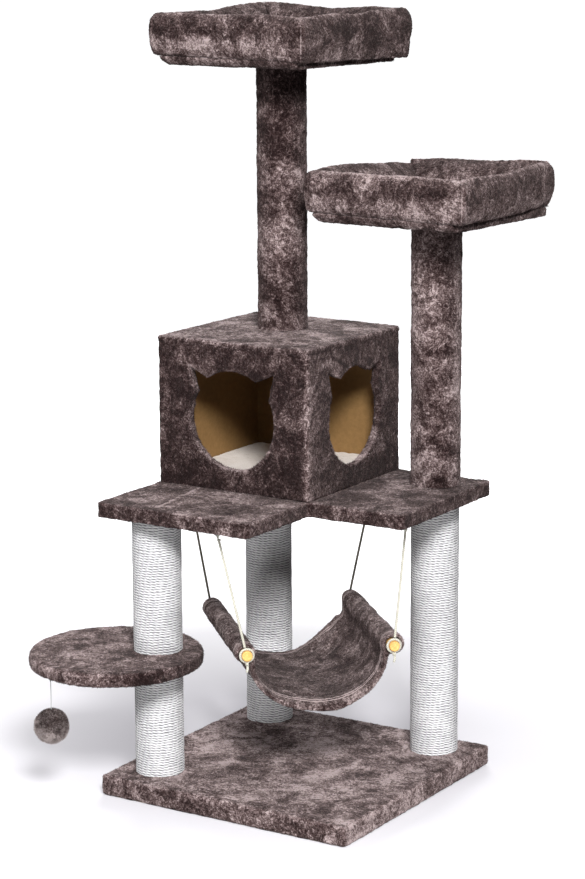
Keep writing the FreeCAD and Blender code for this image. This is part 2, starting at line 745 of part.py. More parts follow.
def perch(label, post_x, post_y, middle_x, foot):
    """One perch on its post; returns the bolt that holds it down."""
    middle = Placement(Vector(middle_x, size(post_y), foot), Rotation(UP, size("perch_twist")))

    def centred(name, width, depth, height, lift):
        solid = doc.addObject("Part::Box", f"{label}_{name}")
        bind(solid, Length=width, Width=depth, Height=height)
        doc.recompute()
        corner = Vector(-solid.Length.Value / 2, -solid.Width.Value / 2, lift)
        solid.Placement = middle.multiply(Placement(corner, Rotation()))
        return solid

    def on_post(name, radius, height, z):
        solid = doc.addObject("Part::Cylinder", f"{label}_{name}")
        bind(solid, Radius=radius, Height=height)
        return put(solid, post_x, post_y, z)

    thin = size("thin_pile")
    plain = centred(
        "plain", "perch_width - 2 * thin_pile", "perch_depth - 2 * thin_pile",
        "perch_thick - 2 * thin_pile", thin,
    )
    blank = rounded(f"{label}_blank", plain, PERCH_CORNER - thin)
    skin = centred("skin", "perch_width", "perch_depth", "perch_thick", 0)
    bore = on_post("bore", "bolt_clear", "perch_thick / 2", foot)
    head = foot + size("perch_thick") - thin - size("head_height") - 0.5
    pocket = on_post("pocket", "head_radius + 1", "head_height + 1", head - 0.5)
    subpart(cut(f"{label}_board", blank, bore, pocket), f"{label}_board")
    round_skin = rounded(f"{label}_skin_round", skin, PERCH_CORNER)
    subpart(cut(f"{label}_board_plush", round_skin, blank, bore), f"{label}_board_plush")
    corner = size("top_rim_corner" if label == "top_perch" else "low_rim_corner")
    segments = rim(f"{label}_rim", size("perch_thick"), corner)
    segments.Placement = middle
    subpart(segments, f"{label}_rim")
    pad_block = centred(
        "pad_blank", f"perch_width - 2 * {PERCH_PAD_INSET}", f"perch_depth - 2 * {PERCH_PAD_INSET}",
        "perch_pad", size("perch_thick"),
    )
    subpart(rounded(f"{label}_pad", pad_block, PAD_CORNER), f"{label}_pad")
    return hex_bolt(f"{label}_bolt", post_x, post_y, head, foot - size("bolt_grip"), head + 1)


def perches():
    shelf_top = size("shelf_under") + size("shelf_thick")
    short_top = shelf_top + size("plush_post_length")
    tall_top = short_top + size("condo_height")
    low_middle = size("post_right") + size("low_perch_shift")
    bolts = [
        perch("top_perch", "tall_post_x", "tall_post_y", size("tall_post_x"), tall_top),
        perch("low_perch", "post_right", "post_back", low_middle, short_top),
    ]
    subpart(group("perch_bolts", bolts), "perch_bolts")


# Hammock: a plush sheet with a dowel in each end sleeve, hung from four screw eyes under
# the middle shelf. "Inner" cords are on the back left post's side, "outer" ones on the
# open corner's side.

EYES = (
    ("inner_left", -size("eye_along"), size("eye_across")),
    ("inner_right", size("eye_along"), size("eye_across")),
    ("outer_left", -size("eye_along"), -size("eye_across")),
    ("outer_right", size("eye_along"), -size("eye_across")),
)
EYE_DROP = 3


def turned(along, across, height, rotation=None):
    """Placement in the hammock's own directions."""
    turn = DIAGONAL if rotation is None else DIAGONAL.multiply(rotation)
    return Placement(diagonal(along, across, height), turn)


def hinge_height():
    """Height of the eyes' lowest wire, where the cords turn."""
    return size("shelf_under") - EYE_DROP - 2 * size("eye_ring")


def screw_eyes():
    eyes = []
    for name, along, across in EYES:
        wire = doc.addObject("Part::Torus", f"{name}_eye_ring")
        bind(wire, Radius1="eye_ring", Radius2="eye_wire")
        centre = hinge_height() + size("eye_ring")
        wire.Placement = turned(along, across, centre, FLAT_TO_ACROSS)
        shank = doc.addObject("Part::Cylinder", f"{name}_eye_shank")
        bind(shank, Radius="eye_wire", Height=f"shelf_thick / 2 + {EYE_DROP}")
        shank.Placement = turned(along, across, size("shelf_under") - EYE_DROP)
        eyes.append(join(f"{name}_eye", wire, shank))
    subpart(group("hammock_screw_eyes", eyes), "hammock_screw_eyes")


def bowl_arcs():
    """Centres, radii and angles of the three arcs of the hammock's section."""
    radius = size("bowl_radius")
    half = size("bowl_half")
    lean = math.asin(half / radius)
    chord = math.hypot(size("bowl_run"), size("bowl_rise"))
    slope = math.atan2(size("bowl_rise"), size("bowl_run"))
    turn = 2 * (slope - lean)
    side = chord / (2 * math.sin(turn / 2))
    bottom = Vector(size("hammock_shift"), size("bowl_bottom") + radius)
    joint = bottom + Vector(half, -radius * math.cos(lean))
    side_centre = joint + Vector(-side * math.sin(lean), side * math.cos(lean))
    low = -math.pi / 2
    mirror = Vector(2 * bottom.x - side_centre.x, side_centre.y)
    return (
        (mirror, side, low - lean - turn, low - lean),
        (bottom, radius, low - lean, low + lean),
        (side_centre, side, low + lean, low + lean + turn),
    )


def arc_chain(sketch, arcs, offset):
    """Arcs drawn at one side of their middle line."""
    indices = []
    for centre, radius, start, end in arcs:
        circle = Part.Circle(centre, UP, radius + offset)
        indices.append(sketch.addGeometry(Part.ArcOfCircle(circle, start, end), False))
    return indices


def hammock_cloth():
    body = new_body("hammock_cloth")
    sketch = new_sketch(body, "cloth_section", "XZ_Plane")
    arcs = bowl_arcs()
    half_cloth = size("hammock_cloth") / 2
    under = arc_chain(sketch, arcs, half_cloth)
    over = arc_chain(sketch, arcs, -half_cloth)
    for chain in (under, over):
        for first, second in zip(chain, chain[1:]):
            sketch.addConstraint(Sketcher.Constraint("Coincident", first, 2, second, 1))
    for arc, end in ((0, 1), (2, 2)):
        start_point = sketch.getPoint(under[arc], end)
        end_point = sketch.getPoint(over[arc], end)
        cap = sketch.addGeometry(Part.LineSegment(start_point, end_point), False)
        sketch.addConstraint(Sketcher.Constraint("Coincident", cap, 1, under[arc], end))
        sketch.addConstraint(Sketcher.Constraint("Coincident", cap, 2, over[arc], end))
    pad(body, sketch, "cloth_pad", "hammock_width", True)
    for name, radius, kind in (
        ("sleeves", "sleeve_radius", "PartDesign::Pad"),
        ("bores", "dowel_radius", "PartDesign::Pocket"),
    ):
        circles = new_sketch(body, f"cloth_{name}", "XZ_Plane")
        for side in (-1, 1):
            centre = Vector(
                size("hammock_shift") + side * size("dowel_offset"), size("dowel_height")
            )
            index = circles.addGeometry(Part.Circle(centre, UP, size(radius)), False)
            constrain(circles, radius, "Radius", index, size(radius))
        feature = body.newObject(kind, f"cloth_{name}_feature")
        feature.Profile = circles
        feature.Midplane = True
        bind(feature, Length="hammock_width")
    body.Placement = Placement(Vector(), DIAGONAL)
    subpart(body, "hammock_cloth")


DOWEL_END_ROUND = 2


def dowels():
    for side, label in ((-1, "left_dowel"), (1, "right_dowel")):
        rod = doc.addObject("Part::Cylinder", f"{label}_rod")
        bind(rod, Radius="dowel_radius", Height="dowel_length")
        doc.recompute()
        dowel = doc.addObject("Part::Fillet", label)
        dowel.Base = rod
        rims = [i for i, e in enumerate(rod.Shape.Edges, start=1) if e.isClosed()]
        dowel.Edges = [(i, DOWEL_END_ROUND, DOWEL_END_ROUND) for i in rims]
        along = size("hammock_shift") + side * size("dowel_offset")
        across = size("dowel_length") / 2
        dowel.Placement = turned(along, across, size("dowel_height"), FLAT_TO_ACROSS)
        subpart(dowel, label)


def cord_feet():
    """Point where each cord meets its dowel, by the eye's name."""
    feet = {}
    for name, along, across in EYES:
        side = math.copysign(1, along)
        feet[name] = (
            size("hammock_shift") + side * size("dowel_offset"),
            math.copysign(size("cord_foot_across"), across),
        )
    return feet


TIE_KNOT_RADIUS = 4.4
TIE_KNOT_SHIFT = 1.2
TIE_TAIL = 15


def cord_ties():
    """Turn of cord round each dowel's end, with a knot and a short tail below it."""
    ties = []
    turn_radius = size("dowel_radius") + size("cord_radius")
    for name, (along, across) in cord_feet().items():
        outwards = across + math.copysign(TIE_KNOT_SHIFT, across)
        loop = doc.addObject("Part::Torus", f"{name}_turn")
        loop.Radius1 = turn_radius
        bind(loop, Radius2="cord_radius")
        loop.Placement = turned(along, across, size("dowel_height"), FLAT_TO_ACROSS)
        knot = doc.addObject("Part::Sphere", f"{name}_knot")
        knot.Radius = TIE_KNOT_RADIUS
        knot_height = size("dowel_height") - size("dowel_radius") - TIE_KNOT_RADIUS
        knot.Placement = turned(along, outwards, knot_height)
        end = doc.addObject("Part::Cylinder", f"{name}_tail")
        bind(end, Radius="cord_radius")
        end.Height = TIE_TAIL
        end.Placement = turned(along, outwards, knot_height - TIE_TAIL)
        ties.append(join(f"{name}_tie", loop, knot, end))
    subpart(group("dowel_cord_ties", ties), "dowel_cord_ties")


LOOP_RADIUS = 4
LOOP_CORD_RADIUS = 1.8
KNOT_RADIUS = 3.6
KNOT_DROP = 8


def cord_loops(label, sides):
    """Cord loops through two screw eyes, each with a knot below it."""
    loops = []
    for name, along, across in EYES:
        if not name.startswith(sides):
            continue
        foot_along, foot_across = cord_feet()[name]
        eye = diagonal(along, across, hinge_height())
        foot = diagonal(foot_along, foot_across, size("dowel_height"))
        down = (foot - eye).normalize()
        loop = doc.addObject("Part::Torus", f"{name}_loop")
        loop.Radius1 = LOOP_RADIUS
        loop.Radius2 = LOOP_CORD_RADIUS
        loop.Placement = turned(along, across, hinge_height(), FLAT_TO_ALONG)
        knot = doc.addObject("Part::Sphere", f"{name}_loop_knot")
        knot.Radius = KNOT_RADIUS
        knot.Placement.Base = eye + down * KNOT_DROP
        loops.append(join(f"{name}_loop_and_knot", loop, knot))
    subpart(group(label, loops), label)


ARC_SHARE = 0.45
CORD_GAP = 0.4
TOY_GAP = 0.6


def tangent_route(points):
    """Straight runs joined by arcs, which take up almost half of the shorter run."""
    edges = []
    start = points[0]
    for before, corner, after in zip(points, points[1:], points[2:]):
        back = (before - corner).normalize()
        ahead = (after - corner).normalize()
        half_turn = (math.pi - back.getAngle(ahead)) / 2
        shorter = min((before - corner).Length, (after - corner).Length)
        trim = ARC_SHARE * shorter
        radius = trim / math.tan(half_turn)
        print(f"cord arc radius {radius:.0f} mm")
        arc_start = corner + back * trim
        arc_end = corner + ahead * trim
        towards = (back + ahead).normalize()
        centre = corner + towards * (radius / math.cos(half_turn))
        middle = centre - towards * radius
        edges.append(Part.makeLine(start, arc_start))
        edges.append(Part.Arc(arc_start, middle, arc_end).toShape())
        start = arc_end
    edges.append(Part.makeLine(start, points[-1]))
    return Part.Wire(edges)


def cord(label, points, radius):
    """Round cord along a route of straight runs and arcs."""
    route = tangent_route(points)
    first = points[1] - points[0]
    section = Part.Wire([Part.makeCircle(radius, points[0], first)])
    tube = route.makePipeShell([section], True, True)
    wanted = math.pi * radius**2 * route.Length
    print(f"{label}: length {route.Length:.1f} mm, volume ratio {tube.Volume / wanted:.4f}")
    feature = doc.addObject("Part::Feature", label)
    feature.Shape = tube
    subpart(feature, label)


def hammock_cords():
    stop = size("dowel_radius") + 2 * size("cord_radius") + CORD_GAP
    for name, along, across in EYES:
        foot_along, foot_across = cord_feet()[name]
        eye = diagonal(along, across, hinge_height())
        foot = diagonal(foot_along, foot_across, size("dowel_height"))
        down = (foot - eye).normalize()
        top = eye + down * KNOT_DROP
        low = foot - down * stop
        side = math.copysign(size("cord_bow"), across)
        bowed = (top + low) * 0.5 + diagonal(0, side, 0)
        cord(f"{name}_cord", [top, bowed, low], size("cord_radius"))


def hammock():
    screw_eyes()
    hammock_cloth()
    dowels()
    cord_ties()
    cord_loops("inner_cord_loops", "inner")
    cord_loops("outer_cord_loops", "outer")
    hammock_cords()


# Toy: a pompom on a thin string, hung from a small eye under the round step's rim.


TOY_EYE_RADIUS = 3
TOY_EYE_WIRE = 0.7
TOY_EYE_DROP = 2
TOY_LOOP_RADIUS = 2.4
TOY_KNOT_RADIUS = 1.6
TOY_STRING_BOW = 0.5


def toy():
    x, y = size("toy_x"), size("toy_y")
    hinge = size("step_under") - TOY_EYE_DROP - 2 * TOY_EYE_RADIUS
    eye_ring = doc.addObject("Part::Torus", "toy_eye_ring")
    eye_ring.Radius1 = TOY_EYE_RADIUS
    eye_ring.Radius2 = TOY_EYE_WIRE
    eye_ring.Placement = Placement(Vector(x, y, hinge + TOY_EYE_RADIUS), FLAT_TO_ACROSS)
    shank = doc.addObject("Part::Cylinder", "toy_eye_shank")
    bind(shank, Radius="string_radius", Height=f"step_thick / 2 + {TOY_EYE_DROP}")
    shank.Placement.Base = Vector(x, y, size("step_under") - TOY_EYE_DROP)
    subpart(join("toy_eye", eye_ring, shank), "toy_eye")
    loop = doc.addObject("Part::Torus", "toy_loop_ring")
    loop.Radius1 = TOY_LOOP_RADIUS
    bind(loop, Radius2="string_radius")
    loop.Placement = Placement(Vector(x, y, hinge), FLAT_TO_ALONG)
    knot = doc.addObject("Part::Sphere", "toy_loop_knot")
    knot.Radius = TOY_KNOT_RADIUS
    top = hinge - TOY_LOOP_RADIUS - TOY_KNOT_RADIUS
    knot.Placement.Base = Vector(x, y, top)
    subpart(join("toy_string_loop", loop, knot), "toy_string_loop")
    low = size("toy_height") + size("toy_radius") + TOY_GAP
    bowed = Vector(x + TOY_STRING_BOW, y, (top + low) / 2)
    points = [Vector(x, y, top), bowed, Vector(x, y, low)]
    cord("toy_string", points, size("string_radius"))
    ball = doc.addObject("Part::Sphere", "toy_pompom")
    bind(ball, Radius="toy_radius")
    put(ball, "toy_x", "toy_y", "toy_height")
    subpart(ball, "toy_pompom")


def check():
    """Stop if any object failed or any piece has no valid shape."""
    doc.recompute()
    for thing in doc.Objects:
        if "Invalid" in thing.State or "Error" in thing.State:
            raise RuntimeError(f"{thing.Label} failed: {thing.State}")
    for piece in subparts:
        shape = piece.Shape
        if shape.isNull() or not shape.isValid() or not shape.Solids:
            raise RuntimeError(f"{piece.Label} has no valid solid")


def write():
    """Write each piece to its own STEP file."""
    os.makedirs("parts", exist_ok=True)
    for piece in subparts:
        piece.Shape.exportStep(f"parts/{piece.Label}.step")
    print(f"{len(subparts)} pieces written")


base()
sisal_posts()
round_step()
middle_shelf()
condo()
plush_posts()
perches()
hammock()
toy()
check()
write()
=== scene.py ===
import math

import bmesh
import bpy
import numpy as np
from mathutils import Matrix, Vector
from mathutils.geometry import delaunay_2d_cdt


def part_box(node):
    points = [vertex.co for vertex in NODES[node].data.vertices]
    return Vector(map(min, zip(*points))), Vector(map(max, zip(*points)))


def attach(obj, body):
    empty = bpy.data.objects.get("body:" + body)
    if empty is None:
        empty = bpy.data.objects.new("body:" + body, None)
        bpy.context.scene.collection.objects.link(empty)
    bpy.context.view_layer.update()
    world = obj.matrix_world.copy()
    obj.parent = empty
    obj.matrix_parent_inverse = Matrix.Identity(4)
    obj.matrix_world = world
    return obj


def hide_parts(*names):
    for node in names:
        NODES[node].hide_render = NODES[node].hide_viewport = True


# Cat tree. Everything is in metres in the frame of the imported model: +Z up, -Y the front,
# the origin under the middle of the base.

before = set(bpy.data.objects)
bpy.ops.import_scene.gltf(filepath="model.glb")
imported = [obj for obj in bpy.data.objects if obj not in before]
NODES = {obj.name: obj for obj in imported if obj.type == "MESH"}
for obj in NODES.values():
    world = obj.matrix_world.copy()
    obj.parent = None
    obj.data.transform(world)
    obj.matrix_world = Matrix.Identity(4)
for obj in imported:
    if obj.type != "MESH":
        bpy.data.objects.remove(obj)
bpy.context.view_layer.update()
MM = 0.001
HALF_ROOT = math.sqrt(0.5)


# ---------------------------------------------------------------- random fields and meshes


def field(points, cell, seed):
    """Smooth random values from -1 to 1 that change over about one cell, in metres."""
    turn = np.array([[0.36, 0.48, -0.80], [-0.80, 0.60, 0.00], [0.48, 0.64, 0.60]])
    scaled = (points @ turn) / cell + 31.7 * seed
    low = np.floor(scaled).astype(np.int64)
    part = scaled - low
    part = part * part * (3 - 2 * part)
    total = np.zeros(len(points))
    for corner in np.ndindex(2, 2, 2):
        spot = low + np.array(corner)
        mixed = spot[:, 0] * 73856093 ^ spot[:, 1] * 19349663 ^ spot[:, 2] * 83492791
        mixed = ((mixed ^ (mixed >> 13)) * 1274126177) & 0x7FFFFFFF
        value = ((mixed ^ (mixed >> 15)) & 0xFFFF) / 32767.5 - 1
        weight = np.prod(np.where(np.array(corner) == 1, part, 1 - part), axis=1)
        total += value * weight
    return total


def new_piece(name, vertices, faces, smooth=True):
    """Mesh object from lists of vertices and faces."""
    mesh = bpy.data.meshes.new(name)
    mesh.from_pydata([tuple(v) for v in vertices], [], [tuple(f) for f in faces])
    mesh.update()
    if smooth:
        mesh.shade_smooth()
    piece = bpy.data.objects.new(name, mesh)
    bpy.context.scene.collection.objects.link(piece)
    return piece


def points_of(piece):
    """Vertices as an array."""
    flat = np.empty(len(piece.data.vertices) * 3)
    piece.data.vertices.foreach_get("co", flat)
    return flat.reshape(-1, 3)


def normals_of(piece):
    """Vertex normals as an array."""
    flat = np.empty(len(piece.data.vertices) * 3, np.float32)
    piece.data.vertex_normals.foreach_get("vector", flat)
    return flat.reshape(-1, 3).astype(float)


def move_points(piece, points):
    piece.data.vertices.foreach_set("co", points.ravel())
    piece.data.update()


def set_values(piece, name, values):
    """Store one number per vertex for the material to read."""
    layer = piece.data.attributes.get(name) or piece.data.attributes.new(name, "FLOAT", "POINT")
    layer.data.foreach_set("value", np.asarray(values, np.float32))


def apply_modifiers(piece):
    graph = bpy.context.evaluated_depsgraph_get()
    mesh = bpy.data.meshes.new_from_object(piece.evaluated_get(graph))
    old = piece.data
    piece.modifiers.clear()
    piece.data = mesh
    bpy.data.meshes.remove(old)
    mesh.name = piece.name
    return piece


def remeshed(piece, voxel):
    modifier = piece.modifiers.new("remesh", "REMESH")
    modifier.mode = "VOXEL"
    modifier.voxel_size = voxel
    modifier.use_smooth_shade = True
    return apply_modifiers(piece)


def bevelled(piece, width, segments=4):
    modifier = piece.modifiers.new("bevel", "BEVEL")
    modifier.width = width
    modifier.segments = segments
    modifier.limit_method = "ANGLE"
    modifier.angle_limit = math.radians(50)
    return apply_modifiers(piece)


def thickened(piece, thickness):
    """Give an open surface a back, on the side away from its normals."""
    modifier = piece.modifiers.new("solidify", "SOLIDIFY")
    modifier.thickness = thickness
    modifier.offset = -1
    return apply_modifiers(piece)


def joined(name, *pieces):
    """One mesh piece from several."""
    target = pieces[0]
    work = bmesh.new()
    for piece in pieces:
        work.from_mesh(piece.data)
    work.to_mesh(target.data)
    work.free()
    for piece in pieces[1:]:
        bpy.data.objects.remove(piece)
    target.name = name
    target.data.update()
    return target


def grid_faces(rows, columns, closed_rows=False, closed_columns=False):
    """Quads of a grid whose vertices are numbered row by row."""
    faces = []
    for row in range(rows if closed_rows else rows - 1):
        for column in range(columns if closed_columns else columns - 1):
            next_row = (row + 1) % rows
            next_column = (column + 1) % columns
            faces.append((
                row * columns + column, row * columns + next_column,
                next_row * columns + next_column, next_row * columns + column,
            ))
    return faces


def rounded_outline(corners, radii, steps=8):
    """Corners of a polygon, counterclockwise, each rounded by its own radius."""
    points = []
    count = len(corners)
    for index, radius in enumerate(radii):
        before, corner, after = (
            np.array(corners[(index + shift) % count], float) for shift in (-1, 0, 1)
        )
        back = (before - corner) / np.linalg.norm(before - corner)
        ahead = (after - corner) / np.linalg.norm(after - corner)
        half = math.acos(np.clip(back @ ahead, -1, 1)) / 2
        reach = radius / math.tan(half)
        towards = (back + ahead) / np.linalg.norm(back + ahead)
        centre = corner + towards * radius / math.sin(half)
        start, end = corner + back * reach - centre, corner + ahead * reach - centre
        for step in range(steps + 1):
            share = step / steps
            spoke = start * (1 - share) + end * share
            points.append(centre + spoke / np.linalg.norm(spoke) * radius)
    return points


def plate(name, outline, low, high):
    """Flat closed block between two heights."""
    count = len(outline)
    vertices = [(p[0], p[1], low) for p in outline] + [(p[0], p[1], high) for p in outline]
    faces = [tuple(reversed(range(count))), tuple(range(count, 2 * count))]
    for index in range(count):
        after = (index + 1) % count
        faces.append((index, after, count + after, count + index))
    return new_piece(name, vertices, faces, smooth=False)


def box_outline(low, high, radius):
    corners = [(low[0], low[1]), (high[0], low[1]), (high[0], high[1]), (low[0], high[1])]
    return rounded_outline(corners, [radius] * 4)


# ---------------------------------------------------------------- materials


def node_material(name, **values):
    """Material with a Principled shader whose plain values are set on its own sockets."""
    material = bpy.data.materials.new(name)
    material.use_nodes = True
    shader = material.node_tree.nodes["Principled BSDF"]
    for socket, value in values.items():
        shader.inputs[socket.replace("_", " ")].default_value = value
    return material, material.node_tree, shader


def add_node(tree, kind, **values):
    node = tree.nodes.new(kind)
    for key, value in values.items():
        if hasattr(node, key):
            setattr(node, key, value)
        else:
            node.inputs[key.replace("_", " ")].default_value = value
    return node


def noise_node(tree, coordinates, scale, detail=2.0, roughness=0.5, distortion=0.0):
    node = add_node(
        tree, "ShaderNodeTexNoise", Scale=scale, Detail=detail, Roughness=roughness,
        Distortion=distortion,
    )
    tree.links.new(coordinates, node.inputs["Vector"])
    return node.outputs["Fac"]


def weighted(tree, *terms):
    """Sum of (output, weight) pairs, as an output."""
    total = None
    for output, weight in terms:
        part = add_node(tree, "ShaderNodeMath", operation="MULTIPLY_ADD")
        tree.links.new(output, part.inputs[0])
        part.inputs[1].default_value = weight
        if total is None:
            part.inputs[2].default_value = 0.0
        else:
            tree.links.new(total, part.inputs[2])
        total = part.outputs[0]
    return total


def ramp_node(tree, factor, stops):
    """Colour ramp from (position, colour) stops."""
    node = tree.nodes.new("ShaderNodeValToRGB")
    elements = node.color_ramp.elements
    while len(elements) < len(stops):
        elements.new(0.5)
    for element, (position, colour) in zip(elements, stops):
        element.position = position
        element.color = (*colour, 1)
    tree.links.new(factor, node.inputs["Fac"])
    return node.outputs["Color"]


def colour_from(tree, shader, shade, stops):
    """Base colour read from a ramp."""
    tree.links.new(ramp_node(tree, shade, stops), shader.inputs["Base Color"])


def bump_node(tree, shader, height, strength, distance):
    node = add_node(tree, "ShaderNodeBump", Strength=strength, Distance=distance)
    tree.links.new(height, node.inputs["Height"])
    tree.links.new(node.outputs["Normal"], shader.inputs["Normal"])


def object_coordinates(tree):
    return tree.nodes.new("ShaderNodeTexCoord").outputs["Object"]


def attribute_node(tree, name):
    return add_node(tree, "ShaderNodeAttribute", attribute_name=name).outputs["Fac"]


HEM_LINES = (0.1375, 0.1330)
HEM_LINE_HALF = 0.0011
HEM_LINE_LIFT = 1.2


def hem_lines(tree, place):
    """Two rows of stitches along both hems of the hammock's cloth."""
    across = add_node(tree, "ShaderNodeVectorMath", operation="DOT_PRODUCT")
    tree.links.new(place, across.inputs[0])
    across.inputs[1].default_value = (-HALF_ROOT, HALF_ROOT, 0)
    size = add_node(tree, "ShaderNodeMath", operation="ABSOLUTE")
    tree.links.new(across.outputs["Value"], size.inputs[0])
    stitches = noise_node(tree, place, 260, 1, 0.5)
    rows = []
    for line in HEM_LINES:
        row = add_node(tree, "ShaderNodeMath", operation="COMPARE")
        tree.links.new(size.outputs[0], row.inputs[0])
        row.inputs[1].default_value = line
        row.inputs[2].default_value = HEM_LINE_HALF
        rows.append((row.outputs[0], HEM_LINE_LIFT))
    broken = add_node(tree, "ShaderNodeMath", operation="MULTIPLY")
    tree.links.new(weighted(tree, *rows), broken.inputs[0])
    tree.links.new(stitches, broken.inputs[1])
    return broken.outputs[0]


SHADE_STOPS = (0.0, 0.32, 0.62, 1.0)


def plush_material(name, shades, patch=17.0, base=0.28, hem=False):
    """Brushed short pile: patches, streaks, tufts and the grain of the pile itself."""
    material, tree, shader = node_material(
        name, Roughness=0.95, Specular_IOR_Level=0.05, Sheen_Weight=0.10,
        Sheen_Roughness=0.4, Sheen_Tint=(0.80, 0.70, 0.68, 1),
    )
    place = object_coordinates(tree)
    patches = noise_node(tree, place, patch, 3, 0.55, 1.3)
    streaks = noise_node(tree, place, patch * 4.0, 4, 0.65, 2.2)
    tufts = noise_node(tree, place, 130, 3, 0.65, 2.5)
    grain = noise_node(tree, place, 420, 2, 0.7)
    # The stored value holds the pile's own seam and fringe tones and painted light too: tops and
    # some sides made lighter or darker for how the light falls.
    nap = attribute_node(tree, "nap")
    weights = ((patches, 1.45), (streaks, 1.75), (tufts, 1.15), (grain, 1.2))
    extras = [(nap, 0.30)]
    if hem:
        extras.append((hem_lines(tree, place), 1.1))
    shade = weighted(tree, *weights, *extras)
    centred = add_node(tree, "ShaderNodeMath", operation="SUBTRACT")
    tree.links.new(shade, centred.inputs[0])
    centred.inputs[1].default_value = sum(weight for _, weight in weights) / 2 - base
    colour_from(tree, shader, centred.outputs[0], list(zip(SHADE_STOPS, shades)))
    relief = weighted(tree, (grain, 1.0), (tufts, 1.0), (streaks, 0.5))
    bump_node(tree, shader, relief, 0.9, 0.003)
    return material


def sisal_material():
    """Pale twisted rope: strands run slantwise over each turn."""
    material, tree, shader = node_material("sisal_rope", Roughness=0.85, Specular_IOR_Level=0.2)
    coordinates = tree.nodes.new("ShaderNodeTexCoord")
    place = coordinates.outputs["Object"]
    strands = add_node(
        tree, "ShaderNodeTexWave", wave_type="BANDS", bands_direction="DIAGONAL", Scale=1.0,
        Distortion=3.0, Detail=2.0, Detail_Scale=2.0,
    )
    stretch = add_node(tree, "ShaderNodeMapping")
    stretch.inputs["Scale"].default_value = (60.0, 130.0, 1.0)
    tree.links.new(coordinates.outputs["UV"], stretch.inputs["Vector"])
    tree.links.new(stretch.outputs["Vector"], strands.inputs["Vector"])
    fibres = noise_node(tree, stretch.outputs["Vector"], 9, 3, 0.7)
    clouds = noise_node(tree, place, 45, 3, 0.6)
    # Painted shade: the colour darkens down into the groove between turns.
    groove = attribute_node(tree, "groove")
    shade = weighted(
        tree, (strands.outputs["Fac"], 0.30), (fibres, 0.55), (clouds, 0.30), (groove, -1.10),
    )
    colour_from(tree, shader, shade, [
        (0.0, (0.10, 0.095, 0.10)), (0.28, (0.36, 0.355, 0.375)), (0.58, (0.665, 0.663, 0.665)),
    ])
    relief = weighted(tree, (strands.outputs["Fac"], 1.0), (fibres, 0.5))
    bump_node(tree, shader, relief, 0.6, 0.0008)
    return material


def board_material(name, dark, light, scale):
    """Pressed or kraft board: fine fibres and flecks."""
    material, tree, shader = node_material(name, Roughness=0.8, Specular_IOR_Level=0.25)
    place = object_coordinates(tree)
    flecks = noise_node(tree, place, scale, 4, 0.7, 0.4)
    clouds = noise_node(tree, place, 9, 2, 0.5)
    shade = weighted(tree, (flecks, 0.6), (clouds, 0.4))
    colour_from(tree, shader, shade, [(0.3, dark), (0.7, light)])
    bump_node(tree, shader, flecks, 0.25, 0.0005)
    return material


def wood_material():
    """Dowel wood: fine grain along the dowel."""
    material, tree, shader = node_material(
        "dowel_wood", Roughness=0.42, Specular_IOR_Level=0.45, Coat_Weight=0.15
    )
    place = object_coordinates(tree)
    turn = add_node(tree, "ShaderNodeMapping")
    turn.inputs["Rotation"].default_value = (0, 0, -math.radians(45))
    turn.inputs["Scale"].default_value = (1.0, 0.06, 1.0)
    tree.links.new(place, turn.inputs["Vector"])
    grain = noise_node(tree, turn.outputs["Vector"], 420, 3, 0.6, 0.8)
    clouds = noise_node(tree, place, 60, 2, 0.5)
    shade = weighted(tree, (grain, 0.65), (clouds, 0.35))
    colour_from(tree, shader, shade, [
        (0.3, (0.48, 0.22, 0.05)), (0.52, (0.72, 0.40, 0.11)), (0.75, (0.86, 0.58, 0.22)),
    ])
    bump_node(tree, shader, grain, 0.15, 0.0003)
    return material


def steel_material():
    material, tree, shader = node_material("zinc_steel", Metallic=1.0, Roughness=0.35)
    place = object_coordinates(tree)
    clouds = noise_node(tree, place, 220, 3, 0.6)
    colour_from(tree, shader, clouds, [(0.3, (0.45, 0.45, 0.47)), (0.7, (0.68, 0.68, 0.70))])
    bump_node(tree, shader, clouds, 0.1, 0.0002)
    return material


def cord_material(name, dark, light):
    """Spun cord: fine fibres over the strands that the mesh has."""
    material, tree, shader = node_material(
        name, Roughness=0.85, Specular_IOR_Level=0.2, Sheen_Weight=0.2
    )
    place = object_coordinates(tree)
    fibres = noise_node(tree, place, 1500, 3, 0.7)
    clouds = noise_node(tree, place, 90, 2, 0.5)
    # Painted shade: the colour darkens in the grooves between strands.
    groove = attribute_node(tree, "groove")
    shade = weighted(tree, (fibres, 0.45), (clouds, 0.4), (groove, -0.5))
    colour_from(tree, shader, shade, [(0.05, dark), (0.5, light)])
    bump_node(tree, shader, fibres, 0.4, 0.0004)
    return material


def fleece_material():
    material, tree, shader = node_material(
        "white_fleece", Roughness=0.95, Specular_IOR_Level=0.1, Sheen_Weight=0.4,
        Sheen_Roughness=0.5,
    )
    place = object_coordinates(tree)
    curls = noise_node(tree, place, 260, 3, 0.7, 1.0)
    clouds = noise_node(tree, place, 25, 2, 0.5)
    shade = weighted(tree, (curls, 0.6), (clouds, 0.4))
    colour_from(tree, shader, shade, [(0.3, (0.47, 0.40, 0.33)), (0.6, (0.63, 0.55, 0.49))])
    bump_node(tree, shader, curls, 0.8, 0.002)
    return material


# Painted floor shadow: the point it centres on, and the glow's colour by distance from it.
PAINTED_SHADE_CENTRE = (-0.18, 0.18, 0)
PAINTED_FLOOR_GLOW = (
    (0.25, (0.150, 0.142, 0.160)), (0.45, (0.34, 0.332, 0.35)), (0.70, (0.50, 0.495, 0.51)),
    (1.0, (1.02, 1.02, 1.02)),
)


